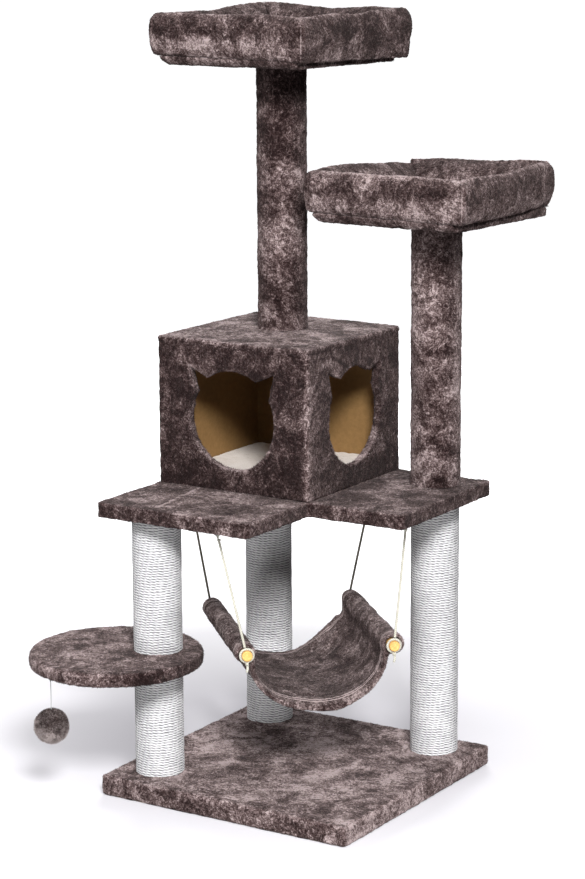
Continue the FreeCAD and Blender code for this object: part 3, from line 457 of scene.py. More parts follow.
def stage_material():
    """White studio paper that glows: painted light, dim and lilac round a point behind and left of
    the tree as a painted soft shadow, and white further away.
    """
    material, tree, shader = node_material("studio_white", Roughness=0.8, Emission_Strength=1)
    shader.inputs["Base Color"].default_value = (0.46, 0.452, 0.475, 1)
    distance = add_node(tree, "ShaderNodeVectorMath", operation="DISTANCE")
    tree.links.new(object_coordinates(tree), distance.inputs[0])
    distance.inputs[1].default_value = PAINTED_SHADE_CENTRE
    glow = ramp_node(tree, distance.outputs["Value"], PAINTED_FLOOR_GLOW)
    tree.links.new(glow, shader.inputs["Emission Color"])
    return material


PLUSH = plush_material("taupe_plush", (
    (0.012, 0.006, 0.006), (0.046, 0.028, 0.027), (0.150, 0.106, 0.104), (0.46, 0.370, 0.365),
))
HAMMOCK_PLUSH = plush_material("hammock_plush", (
    (0.012, 0.006, 0.006), (0.042, 0.026, 0.025), (0.134, 0.096, 0.094), (0.44, 0.355, 0.348),
), 26, 0.33, hem=True)
POMPOM_PILE = plush_material("pompom_pile", (
    (0.014, 0.009, 0.009), (0.060, 0.042, 0.040), (0.200, 0.160, 0.155), (0.50, 0.43, 0.42),
), 45, 0.68)
SISAL = sisal_material()
PARTICLE_BOARD = board_material("particle_board", (0.28, 0.18, 0.10), (0.52, 0.38, 0.23), 320)
KRAFT = board_material("kraft_board", (0.180, 0.100, 0.036), (0.27, 0.155, 0.058), 140)
PAPER_TUBE = board_material("paper_tube", (0.26, 0.18, 0.11), (0.42, 0.31, 0.20), 200)
PLUG_WOOD = board_material("plug_wood", (0.42, 0.28, 0.15), (0.62, 0.45, 0.27), 150)
DOWEL_WOOD = wood_material()
STEEL = steel_material()
FLEECE = fleece_material()
CREAM_CORD = cord_material("cream_cord", (0.36, 0.345, 0.285), (0.66, 0.645, 0.575))
DARK_CORD = cord_material("dark_cord", (0.07, 0.06, 0.045), (0.30, 0.27, 0.22))
WHITE_STRING = cord_material("white_string", (0.28, 0.28, 0.28), (0.56, 0.56, 0.57))


def dress(piece, material):
    piece.data.materials.clear()
    piece.data.materials.append(material)


def finish_piece(piece, material, slot, body, *nodes):
    """Material, body and the CAD nodes that a piece stands for; the slot is not used."""
    dress(piece, material)
    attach(piece, body)
    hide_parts(*nodes)


CAD_MATERIALS = (
    (PARTICLE_BOARD, ("base_board", "round_step_board", "middle_shelf_board", "top_perch_board",
                      "low_perch_board", "condo_floor_board")),
    (KRAFT, ("condo_front_wall", "condo_back_wall", "condo_right_wall", "condo_left_wall",
             "condo_roof_board")),
    (PAPER_TUBE, ("front_post_lower_tube", "front_post_upper_tube", "back_post_tube",
                  "right_post_tube", "tall_post_tube", "short_post_tube")),
    (PLUG_WOOD, ("sisal_post_plugs", "plush_post_plugs")),
    (DOWEL_WOOD, ("left_dowel", "right_dowel")),
    (STEEL, ("base_bolts", "front_post_stud", "front_post_top_bolt", "right_post_stud",
             "condo_floor_bolt", "condo_screws", "tall_post_roof_bolt", "perch_bolts",
             "hammock_screw_eyes", "toy_eye")),
)
for cad_material, cad_names in CAD_MATERIALS:
    for cad_name in cad_names:
        dress(NODES[cad_name], cad_material)


# ---------------------------------------------------------------- plush on boards

VOXEL = 0.003
PILE = 0.0013
FIBRE_RADIUS = 0.00032
FIBRE_SINK = 0.0006
FIBRE_SPREAD = 0.0009


def pile_lift(points, seed, depth=PILE):
    """How far the pile stands from the smooth cover: tufts, brushed waves and soft dents."""
    tufts = 0.65 * field(points, 0.0065, seed) + 0.35 * field(points, 0.0036, seed + 1)
    waves = field(points, 0.030, seed + 2)
    return depth * tufts + 0.0007 * waves


def furred(piece, seed, depth=PILE, nap=None, top=0.98):
    """Raise the pile over a smooth cover and store a value that lightens or darkens its colour:
    painted light on upward faces, in patches, plus what the piece's own function adds.
    """
    points = points_of(piece)
    normals = normals_of(piece)
    move_points(piece, points + normals * pile_lift(points, seed, depth)[:, None])
    patches = field(points, 0.040, seed + 7) + 0.5 * field(points, 0.018, seed + 8)
    # Painted light: upward faces lighter, in patches, by the top amount.
    values = top * (1 + 0.75 * patches) * np.clip(normals[:, 2], 0, 1) ** 2
    if nap is not None:
        values = values + nap(points, normals)
    set_values(piece, "nap", values)


def values_of(piece, name):
    values = np.empty(len(piece.data.vertices), np.float32)
    piece.data.attributes[name].data.foreach_get("value", values)
    return values.astype(float)


def fibre_mesh(roots, ways, lengths, width, naps_and_painted_light, rng):
    """Tapered closed fibres standing on points along directions."""
    ways = ways / np.linalg.norm(ways, axis=1)[:, None]
    side = np.cross(ways, rng.normal(size=ways.shape))
    side /= np.linalg.norm(side, axis=1)[:, None]
    other = np.cross(ways, side)
    corners = [
        roots + width * (math.cos(a) * side + math.sin(a) * other)
        for a in (0, 2 * math.pi / 3, 4 * math.pi / 3)
    ]
    vertices = np.stack([*corners, roots + ways * lengths[:, None]], axis=1).reshape(-1, 3)
    faces = []
    for index in range(0, 4 * len(roots), 4):
        a, b, c, d = index, index + 1, index + 2, index + 3
        faces += [(a, b, d), (b, c, d), (c, a, d), (a, c, b)]
    fibres = new_piece("fibres", vertices, faces, smooth=False)
    set_values(fibres, "nap", np.repeat(naps_and_painted_light, 4))
    return fibres


def fuzzy(piece, count, seed, where=None, length=0.0026):
    """Loose fibres of the pile, spread over a cover or over a part of it."""
    rng = np.random.default_rng(seed)
    points, normals, naps_and_painted_light = points_of(piece), normals_of(piece), values_of(piece, "nap")
    chances = np.ones(len(points)) if where is None else where(points, normals)
    picked = rng.choice(len(points), count, p=chances / chances.sum())
    spread = rng.normal(scale=FIBRE_SPREAD, size=(count, 3))
    spread -= normals[picked] * (spread * normals[picked]).sum(axis=1)[:, None]
    roots = points[picked] + spread - FIBRE_SINK * normals[picked]
    ways = normals[picked] + rng.normal(scale=0.45, size=(count, 3))
    lengths = length * rng.uniform(0.6, 1.25, count)
    shades = naps_and_painted_light[picked] + rng.normal(scale=0.35, size=count)
    fibres = fibre_mesh(roots, ways, lengths, FIBRE_RADIUS, shades, rng)
    joined(piece.name, piece, fibres)


def on_edges(points, normals):
    """Chance of a fibre: mostly on a board's edges, where it shows against what is behind."""
    slope = np.abs(normals[:, 2])
    return 0.05 + bell(slope - 0.65, 0.25) + 0.35 * (slope < 0.3)


EDGE_REACH = 0.006


def edge_line_and_painted_light(height, level=0.0, front=0.0, right=0.0):
    """A thin light line along a board's top edge, and painted light: the top and the front-left and
    right sides made lighter or darker by the given amounts.
    """

    def nap(points, normals):
        rim = np.exp(-np.abs(points[:, 2] - height) / EDGE_REACH)
        corner = 4 * np.clip(normals[:, 2], 0, 1) * np.clip(1 - normals[:, 2], 0, 1)
        painted_front_light = np.clip(-0.8 * normals[:, 1] - 0.6 * normals[:, 0], 0, 1)
        top = np.clip(normals[:, 2], 0, 1) ** 2
        painted_side_light = front * painted_front_light + right * np.clip(normals[:, 0], 0, 1)
        return 0.6 * rim * corner + level * top + painted_side_light * (1 - top)

    return nap


def bell(value, width):
    """1 where the value is 0, fading within about a width of it."""
    return np.exp(-(value / width) ** 2)


def from_segment(points, start, end):
    """Distance of flat points from the line between two others."""
    start, end = np.array(start), np.array(end)
    share = np.clip((points - start) @ (end - start) / ((end - start) ** 2).sum(), 0, 1)
    return np.linalg.norm(points - start - share[:, None] * (end - start), axis=1)


def post_hollows(piece, centres, radius, height):
    """Press a cover down under the posts and let its pile stand up round their feet."""
    points = points_of(piece)
    for x, y in centres:
        away = np.hypot(points[:, 0] - x, points[:, 1] - y) - radius
        close = np.abs(points[:, 2] - height) < 0.006
        under = close & (away < -0.001)
        points[under, 2] = np.where(
            points[under, 2] > height - 0.006, height - 0.0012, points[under, 2]
        )
        collar = close & (away > 0) & (away < 0.008)
        points[collar, 2] += 0.0016 * np.exp(-away[collar] / 0.003)
    move_points(piece, points)


SISAL_POSTS = ("front_post_lower_sisal", "back_post_sisal", "right_post_sisal")


def axis_of(node):
    """x, y and radius of an upright round node, and its two heights."""
    low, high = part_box(node)
    return (low.x + high.x) / 2, (low.y + high.y) / 2, (high.x - low.x) / 2, low.z, high.z


PILE_OUT = 0.0012
FLOOR_GAP = 0.0003
FIBRES_FROM = 0.004


def grown(low, high, reach):
    """The same box, larger sideways."""
    sideways = Vector((reach, reach, 0))
    return low - sideways, high + sideways


def base_cover():
    low, high = grown(*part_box("base_plush"), 2 * PILE_OUT)
    cover = plate("base_cover", box_outline(low, high, 0.006), FLOOR_GAP, high.z)
    cover = remeshed(bevelled(cover, 0.005), VOXEL)
    centres = [axis_of(name)[:2] for name in SISAL_POSTS]
    post_hollows(cover, centres, axis_of("back_post_sisal")[2], high.z)
    # Painted light: the top a little lighter, the front-left sides lighter and the right side much
    # lighter, standing in for light from the right.
    edges = edge_line_and_painted_light(high.z, 0.15, 0.75, 1.5)

    def nap(points, normals):
        collars = [
            bell(np.hypot(points[:, 0] - x, points[:, 1] - y) - 0.048, 0.018)
            for x, y in centres
        ]
        ragged = 0.7 + 0.3 * field(points, 0.02, 13)
        return 0.55 * np.max(collars, axis=0) * ragged + edges(points, normals)

    furred(cover, 3, nap=nap)
    points = points_of(cover)
    points[:, 2] = np.maximum(points[:, 2], FLOOR_GAP)
    move_points(cover, points)

    def above_floor(points, normals):
        return on_edges(points, normals) * (points[:, 2] > FIBRES_FROM)

    fuzzy(cover, 16000, 4, above_floor)
    finish_piece(cover, PLUSH, "plush", "root", "base_plush")


def step_cover():
    x, y, radius, low, high = axis_of("round_step_plush")
    turns = np.linspace(0, 2 * math.pi, 120, endpoint=False)
    radius += PILE_OUT
    outline = [(x + radius * math.cos(a), y + radius * math.sin(a)) for a in turns]
    cover = remeshed(bevelled(plate("step_cover", outline, low, high), 0.006), VOXEL)
    front = axis_of("front_post_lower_sisal")
    post_hollows(cover, [front[:2]], front[2], high)
    # Painted light: the top darker and the front-left sides lighter.
    furred(cover, 11, nap=edge_line_and_painted_light(high, -0.35, 0.9))
    fuzzy(cover, 9000, 12, on_edges)
    finish_piece(cover, PLUSH, "plush", "root", "round_step_plush")


SHELF_SEAM = ((-0.137, -0.221), (-0.160, -0.064))


def shelf_cover():
    low, high = grown(*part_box("middle_shelf_plush"), PILE_OUT)
    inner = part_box("condo_wrap_plush")[1].x + PILE_OUT
    corners = [
        (low.x, low.y), (inner, low.y), (inner, -inner), (high.x, -inner), (high.x, high.y),
        (low.x, high.y),
    ]
    radii = [0.008, 0.008, 0.001, 0.008, 0.008, 0.008]
    outline = rounded_outline(corners, radii)
    cover = remeshed(bevelled(plate("shelf_cover", outline, low.z, high.z), 0.006), VOXEL)
    # Painted light: the top darker.
    edges = edge_line_and_painted_light(high.z, -0.42)

    def nap(points, normals):
        x, y, _ = points.T
        away = from_segment(points[:, :2], *SHELF_SEAM)
        seam = bell(away, 0.0032) * np.clip(normals[:, 2], 0, 1)
        # Painted highlight: a light patch on the left arm's top edge near its front corner, where
        # the plush is crumpled.
        painted_corner_highlight = np.exp(-((x - 0.03) / 0.04) ** 2 - ((y + 0.24) / 0.02) ** 2)
        painted_corner_highlight *= 0.6 + 0.6 * field(points, 0.02, 14)
        return 1.4 * seam + 1.1 * painted_corner_highlight + edges(points, normals)

    furred(cover, 21, nap=nap)
    fuzzy(cover, 16000, 22, on_edges)
    finish_piece(cover, PLUSH, "plush", "root", "middle_shelf_plush")


# ---------------------------------------------------------------- condo

DOOR_RADIUS = 0.0875
DOOR_CENTRE = 0.125
EAR_TIP = (0.0875, 0.089)
EAR_OUTER = 0.076
EAR_INNER = 0.050
SKIN = 0.0034
CONDO_CORNER = 0.007
WRAP_SLIT = ((0.012, 0.764), (0.068, 0.736))
FINE_HALF = 0.104
FINE = 0.002
COARSE = 0.0034


def cat_head_outline(seed):
    """Outline of a doorway about its own centre: a round head with two pointed ears."""
    inner = math.acos(EAR_INNER / DOOR_RADIUS)
    outer = math.acos(EAR_OUTER / DOOR_RADIUS)
    right = [(EAR_OUTER, DOOR_RADIUS * math.sin(outer)), EAR_TIP,
             (EAR_INNER, DOOR_RADIUS * math.sin(inner))]
    left = [(-x, z) for x, z in reversed(right)]
    points = []
    for angle in np.linspace(math.pi - outer, 2 * math.pi + outer, 190)[:-1]:
        points.append((DOOR_RADIUS * math.cos(angle), DOOR_RADIUS * math.sin(angle)))
    for ear in (right, left):
        for start, end in zip(ear, ear[1:]):
            for share in np.linspace(0, 1, 14)[:-1]:
                points.append(tuple(np.array(start) * (1 - share) + np.array(end) * share))
        if ear is right:
            for angle in np.linspace(inner, math.pi - inner, 44)[:-1]:
                points.append((DOOR_RADIUS * math.cos(angle), DOOR_RADIUS * math.sin(angle)))
    points = np.array(points)
    spots = np.column_stack([points, np.zeros(len(points))])
    ragged = 1 + 0.010 * field(spots, 0.009, seed) + 0.008 * field(spots, 0.022, seed + 1)
    return points * ragged[:, None]


def inside_and_nearest(points, outline):
    """Whether each flat point is inside the outline, and its distance from the outline."""
    start = outline
    step = np.roll(outline, -1, axis=0) - start
    rise = start[:, 1] > points[:, None, 1]
    rise_end = np.roll(start[:, 1], -1) > points[:, None, 1]
    slope = step[:, 0] / np.where(np.abs(step[:, 1]) < 1e-12, 1e-12, step[:, 1])
    crossing = start[:, 0] + slope * (points[:, None, 1] - start[:, 1])
    inside = (((rise != rise_end) & (points[:, None, 0] < crossing)).sum(axis=1) % 2) == 1
    offset = points[:, None, :] - start
    share = np.clip((offset * step).sum(axis=2) / ((step ** 2).sum(axis=1) + 1e-18), 0, 1)
    gap = np.linalg.norm(offset - share[..., None] * step, axis=2).min(axis=1)
    return inside, gap


def in_parts(points, outline, size=2000):
    pieces = [inside_and_nearest(part, outline)
              for part in np.array_split(points, len(points) // size + 1)]
    return np.concatenate([p[0] for p in pieces]), np.concatenate([p[1] for p in pieces])


def steps(length, step):
    """Even positions from 0 up to the length, without the length itself."""
    return np.linspace(0, length, max(int(round(length / step)), 1), endpoint=False)


def condo_cover():
    """The plush wrap: one sheet round four sides, turned in at both doorways."""
    low, high = grown(*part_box("condo_wrap_plush"), PILE_OUT)
    side = high.x - low.x
    straight = side - 2 * CONDO_CORNER
    arc = CONDO_CORNER * math.pi / 2
    margin = straight / 2 - FINE_HALF
    runs = []
    for door in (False, True, True, False):
        if door:
            runs += [(margin, COARSE), (2 * FINE_HALF, FINE), (margin, COARSE)]
        else:
            runs += [(straight, COARSE)]
        runs += [(arc, arc / 5)]
    columns, reached = [], 0.0
    for length, step in runs:
        columns.append(reached + steps(length, step))
        reached += length
    columns = np.concatenate(columns)
    centre_z = low.z + DOOR_CENTRE
    heights = np.concatenate([
        low.z + steps(DOOR_CENTRE - FINE_HALF, COARSE),
        centre_z - FINE_HALF + steps(2 * FINE_HALF, FINE),
        centre_z + FINE_HALF + steps(high.z - centre_z - FINE_HALF, COARSE), [high.z],
    ])

    def place(along, up):
        """Point of the sheet: left, front, right and back faces in turn."""
        along = np.asarray(along) % reached
        face = np.minimum((along // (straight + arc)).astype(int), 3)
        local = along - face * (straight + arc)
        swing = np.clip(local - straight, 0, arc) / CONDO_CORNER
        forward = np.minimum(local, straight) + CONDO_CORNER * np.sin(swing)
        inwards = CONDO_CORNER * (1 - np.cos(swing))
        half = side / 2
        u, v = forward + CONDO_CORNER - half, half - inwards
        turn = face * math.pi / 2 - math.pi / 2
        x = u * np.cos(turn) + v * np.sin(turn)
        y = u * np.sin(turn) - v * np.cos(turn)
        return np.column_stack([x + low.x + half, y + low.y + half, up])

    along, up = np.meshgrid(columns, heights)
    along, up = along.ravel(), up.ravel()
    vertices = place(along, up)
    door_centres = [straight + arc + straight / 2, 2 * (straight + arc) + straight / 2]
    faces = grid_faces(len(heights), len(columns), closed_columns=True)
    corner_index = np.array(faces)
    middle_along = along[corner_index].mean(axis=1)
    middle_up = up[corner_index].mean(axis=1)
    kept = np.ones(len(faces), bool)
    for centre in door_centres:
        kept &= ~((np.abs(middle_along - centre) < FINE_HALF)
                  & (np.abs(middle_up - centre_z) < FINE_HALF))
    faces = [face for face, keep in zip(faces, kept) if keep]
    vertices = list(vertices)
    heads = [cat_head_outline(6), cat_head_outline(9)]
    for centre, head in zip(door_centres, heads):
        local = np.column_stack([along - centre, up - centre_z])
        local = local[(np.abs(local) < FINE_HALF + 1e-6).all(axis=1)]
        _, gap = in_parts(local, head)
        flat = np.vstack([head, local[gap > 0.5 * FINE]])
        rim = [(i, (i + 1) % len(head)) for i in range(len(head))]
        flat_out, _, triangles, *_ = delaunay_2d_cdt(
            [Vector(p) for p in flat], rim, [], 0, 1e-7
        )
        flat_out = np.array([tuple(p) for p in flat_out])
        middles = np.array([flat_out[list(t)].mean(axis=0) for t in triangles])
        inside, _ = in_parts(middles, head)
        first = len(vertices)
        vertices += list(place(flat_out[:, 0] + centre, flat_out[:, 1] + centre_z))
        faces += [
            tuple(first + i for i in triangle)
            for triangle, hole in zip(triangles, inside) if not hole
        ]
    cover = new_piece("condo_cover", vertices, faces)
    middle = Vector(((low.x + high.x) / 2, (low.y + high.y) / 2, 0))
    work = bmesh.new()
    work.from_mesh(cover.data)
    bmesh.ops.remove_doubles(work, verts=work.verts, dist=1e-5)
    bmesh.ops.delete(work, geom=[v for v in work.verts if not v.link_faces], context="VERTS")
    rim = [
        e for e in work.edges
        if len(e.link_faces) == 1 and low.z + 1e-4 < e.verts[0].co.z < high.z - 1e-4
    ]
    for depth in (0.0012, 0.0042, 0.0042, 0.0042):
        grown_parts = bmesh.ops.extrude_edge_only(work, edges=rim)["geom"]
        for vertex in (g for g in grown_parts if isinstance(g, bmesh.types.BMVert)):
            if vertex.co.x > middle.x + 0.12 and vertex.co.y > low.y + 0.02:
                vertex.co.x -= depth
            else:
                vertex.co.y += depth
        rim = [g for g in grown_parts if isinstance(g, bmesh.types.BMEdge)]
    bmesh.ops.recalc_face_normals(work, faces=work.faces)
    work.faces.ensure_lookup_table()
    outward = sum(
        f.normal.dot(f.calc_center_median() - middle) * f.calc_area()
        for f in work.faces if abs(f.calc_center_median().x - low.x) < 0.001
    )
    if outward < 0:
        bmesh.ops.reverse_faces(work, faces=work.faces)
    work.to_mesh(cover.data)
    work.free()
    cover.data.update()
    cover.data.shade_smooth()

    def fringe(points):
        """1 at a doorway's edge, fading over a few millimetres."""
        value = np.zeros(len(points))
        front = np.column_stack([points[:, 0] - middle.x, points[:, 2] - centre_z])
        right = np.column_stack([points[:, 1] - middle.y, points[:, 2] - centre_z])
        for local, close, head in ((front, points[:, 1] < low.y + 0.016, heads[0]),
                                   (right, points[:, 0] > high.x - 0.016, heads[1])):
            spots = np.nonzero(close & (np.abs(local) < FINE_HALF).all(axis=1))[0]
            value[spots] = np.maximum(
                value[spots], bell(in_parts(local[spots], head)[1], 0.0045)
            )
        return value

    def nap(points, normals):
        # Painted shade and light: the whole wrap darker and the right wall lighter near the front.
        # Its vertical corners and a spot high on the right wall are lighter too, the wrap's slit is
        # dark and both doorways have a light fringe.
        x, y, z = points.T
        patchy = 0.6 + 0.4 * field(points, 0.025, 5)
        edges = [
            bell(np.abs(x - ex) + np.abs(y - ey), 0.013)
            for ex, ey in ((high.x, low.y), (low.x, low.y), (high.x, high.y))
        ]
        near = edges[0] * (0.9 + 0.9 * field(points, 0.018, 6)) * np.clip((0.79 - z) / 0.06, 0.4, 1)
        right = bell(x - high.x, 0.006)
        beside = right * bell(y - low.y - 0.01, 0.045)
        above = right * np.exp(-((y - 0.045) / 0.040) ** 2 - ((z - 0.748) / 0.020) ** 2)
        away = from_segment(np.column_stack([y, z]), *WRAP_SLIT)
        slit = right * bell(away, 0.0028)
        return (
            -0.35 + 0.95 * near + 0.5 * (edges[1] + edges[2]) * patchy + 0.8 * beside
            + 0.8 * above - 2.2 * slit + 1.15 * fringe(points) * patchy
        )

    furred(cover, 31, nap=nap)
    edge = fringe(points_of(cover)) > 0.5
    thickened(cover, SKIN)
    marked = np.zeros(len(cover.data.vertices))
    marked[:len(edge)] = edge
    fuzzy(cover, 9000, 32, lambda points, normals: 0.0001 + marked, 0.003)
    finish_piece(cover, PLUSH, "plush", "root", "condo_wrap_plush")


def condo_roof_cover():
    low, high = grown(*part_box("condo_roof_plush"), PILE_OUT + 0.0012)
    cover = plate("condo_roof_cover", box_outline(low, high, 0.009), low.z - 0.008, high.z)
    cover = remeshed(bevelled(cover, 0.0045, 3), 0.0025)
    x, y, radius, _, _ = axis_of("tall_post_plush")
    post_hollows(cover, [(x, y)], radius, high.z)
    furred(cover, 41, depth=0.0011, nap=edge_line_and_painted_light(high.z))
    fuzzy(cover, 9000, 42, on_edges)
    finish_piece(cover, PLUSH, "plush", "root", "condo_roof_plush")


def fleece_mat():
    low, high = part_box("condo_fleece_mat")
    mat = plate("fleece_mat", box_outline(low, high, 0.012), low.z, high.z - 0.001)
    mat = remeshed(bevelled(mat, 0.004), VOXEL)
    points, normals = points_of(mat), normals_of(mat)
    curls = 0.6 * field(points, 0.008, 51) + 0.4 * field(points, 0.0045, 52)
    dents = field(points, 0.06, 53)
    up = np.clip(normals[:, 2], 0, 1)
    points += normals * (0.0016 * curls * (0.4 + 0.6 * up))[:, None]
    points[:, 2] += 0.0012 * dents * up
    move_points(mat, points)
    finish_piece(mat, FLEECE, "fleece", "root", "condo_fleece_mat")


# ---------------------------------------------------------------- posts


def plush_post(name, node, seed, level=0.18):
    """Plush glued round a tube, with its seam at the back and a soft collar at the foot."""
    x, y, radius, low, high = axis_of(node)
    columns, rows = 96, int((high - low) / VOXEL)
    turns = np.linspace(0, 2 * math.pi, columns, endpoint=False)
    heights = np.linspace(low + 0.0005, high - 0.0005, rows)
    grid = np.array([(a, z) for z in heights for a in turns])
    seam = bell((grid[:, 0] - math.pi / 2) * radius, 0.0022)
    collar = np.exp(-(grid[:, 1] - low) / 0.004)
    reach = radius - 0.0008 - 0.0018 * seam + 0.0016 * collar
    points = np.column_stack([
        x + reach * np.cos(grid[:, 0]), y + reach * np.sin(grid[:, 0]), grid[:, 1],
    ])
    post = new_piece(name, points, grid_faces(rows, columns, closed_columns=True))

    def nap(points, normals):
        clouds = field(points * (1, 1, 0.6), 0.06, seed + 9)
        # Painted light: level makes the whole post lighter, the short post much more; the seam at
        # the back is darker and the collar at the foot lighter.
        return level - 0.9 * seam + 0.45 * collar + 0.5 * clouds

    furred(post, seed, nap=nap)
    thickened(post, SKIN)
    fuzzy(post, 9000, seed + 3)
    finish_piece(post, PLUSH, "plush", "root", node)


ROPE_PITCH = 0.0045


def sisal_winding(name, node):
    """Rope wound round and round a tube, each turn lying on the one below."""
    x, y, radius, low, high = axis_of(node)
    rope = ROPE_PITCH / 2
    columns, per_turn = 96, 6
    rows = int((high - low) / ROPE_PITCH * per_turn) + 1
    turns = np.linspace(0, 2 * math.pi, columns + 1)
    heights = np.linspace(low, high, rows)
    angle, height = np.meshgrid(turns[:-1], heights)
    angle, height = angle.ravel(), height.ravel()
    around = np.column_stack([radius * np.cos(angle), radius * np.sin(angle), height])
    wander = 0.28 * field(around, 0.009, 62) + 0.25 * field(around, 0.05, 63)
    phase = ((height - low) / ROPE_PITCH - angle / (2 * math.pi) + wander) % 1
    from_middle = (phase - 0.5) * ROPE_PITCH
    bulge = np.sqrt(np.clip(rope ** 2 - (0.94 * from_middle) ** 2, 0, None))
    points = np.column_stack([np.cos(angle), np.sin(angle), height])
    uneven = 0.0004 * field(around, 0.012, 61)
    reach = radius - rope + bulge + uneven
    points[:, 0] = x + reach * points[:, 0]
    points[:, 1] = y + reach * points[:, 1]
    post = new_piece(name, points, grid_faces(rows, columns, closed_columns=True))
    layer = post.data.uv_layers.new(name="rope")
    corner_vertex = np.empty(len(post.data.loops), np.int32)
    post.data.loops.foreach_get("vertex_index", corner_vertex)
    flat = np.empty(len(corner_vertex) * 2)
    flat[0::2] = angle[corner_vertex] * radius
    flat[1::2] = height[corner_vertex]
    layer.data.foreach_set("uv", flat)
    # How deep each point lies in the groove, for the painted shade there.
    set_values(post, "groove", 1 - bulge / rope)
    finish_piece(post, SISAL, "sisal", "root", node)


# ---------------------------------------------------------------- perches


PERCH_TWIST = math.radians(-3.2)
PERCH_HALF = (0.141, 0.146)
BOLSTER_OUT = 0.022
BOLSTER_IN = 0.040
BOLSTER_HEIGHT = 0.075


def perch_middle(prefix):
    """Middle of the top of a perch's board."""
    low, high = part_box(f"{prefix}_board_plush")
    return Vector(((low.x + high.x) / 2, (low.y + high.y) / 2, high.z))


def twisted(piece, middle):
    """Turn a piece built about the origin to the perch's own direction and place."""
    piece.data.transform(Matrix.Translation(middle) @ Matrix.Rotation(PERCH_TWIST, 4, "Z"))
    piece.data.update()


def section_points(count):
    """Section of a stuffed rim: distance from the board's edge and height, all round."""
    shape = np.array([
        (0.0090, 0.0000), (0.0155, 0.0060), (0.0195, 0.0230), (0.0215, 0.0410),
        (0.0205, 0.0580), (0.0165, 0.0690), (0.0095, 0.0748), (0.0005, 0.0725),
        (-0.0110, 0.0650), (-0.0220, 0.0545), (-0.0310, 0.0415), (-0.0370, 0.0275),
        (-0.0385, 0.0140), (-0.0340, 0.0030), (-0.0200, 0.0000), (-0.0070, 0.0000),
    ])
    closed = np.vstack([shape[-1:], shape, shape[:2]])
    spots = []
    for index in range(1, len(closed) - 2):
        a, b, c, d = closed[index - 1 : index + 3]
        for share in np.linspace(0, 1, 12, endpoint=False):
            spots.append(0.5 * (
                2 * b + (c - a) * share + (2 * a - 5 * b + 4 * c - d) * share ** 2
                + (3 * b - a - 3 * c + d) * share ** 3
            ))
    spots = np.vstack([spots, spots[:1]])
    run = np.concatenate([[0], np.cumsum(np.linalg.norm(np.diff(spots, axis=0), axis=1))])
    even = np.linspace(0, run[-1], count, endpoint=False)
    return np.column_stack([np.interp(even, run, spots[:, 0]), np.interp(even, run, spots[:, 1])])


CORNER_SHARE = 0.26


def loop_place(share, out, corner_radii):
    """Point at this distance outside the board's edge. The loop starts at the middle of the
    right side and passes the back right, back left, front left and front right corners."""
    side = np.floor(share * 4).astype(int) % 4
    local = share * 4 - np.floor(share * 4)
    radius = np.maximum(np.array(corner_radii)[side] + out - BOLSTER_OUT, 0.0015)
    half_x, half_y = PERCH_HALF
    first = np.where(side % 2 == 0, half_y, half_x) + out
    second = np.where(side % 2 == 0, half_x, half_y) + out
    lead = 0.5 - CORNER_SHARE / 2
    swing = np.clip((local - lead) / CORNER_SHARE, 0, 1) * math.pi / 2
    along = np.minimum(local / lead, 1) * (first - radius) + radius * np.sin(swing)
    fall = np.clip((local - lead - CORNER_SHARE) / lead, 0, 1)
    across = (1 - fall) * (second - radius) + radius * np.cos(swing)
    across = np.where(local < lead, second, across)
    turn = side * math.pi / 2
    x = across * np.cos(turn) - along * np.sin(turn)
    y = across * np.sin(turn) + along * np.cos(turn)
    return x, y


# For the back right, back left, front left and front right corners: the radius, the drop of
# the crest just before and just after the seam, how far the side pulls in, how deep the seam
# notches the crest and how far the foot hangs over the board's side (metres).
RIM_CORNERS = {
    "top_perch": (
        (0.020, 0.012, 0.008, 0.011), (0.001, -0.005, 0.007, 0.009),
        (0.001, -0.003, 0.007, 0.009), (-0.007, 0.0, 0.0, 0.0), (0.002, 0.012, 0.002, 0.002),
        (0.013, 0.0, 0.0, 0.006),
    ),
    "low_perch": (
        (0.011, 0.012, 0.009, 0.011), (-0.002, 0.015, 0.007, 0.007),
        (-0.002, 0.026, 0.007, 0.007), (0.018, 0.008, 0.002, 0.0), (0.002, 0.003, 0.002, 0.003),
        (0.0, 0.0, 0.0, 0.004),
    ),
}


# Painted light: how much lighter each perch's rim is made, the low perch more.
RIM_PAINTED_LIGHT = {"top_perch": 0.25, "low_perch": 0.55}
FLARE = 0.010


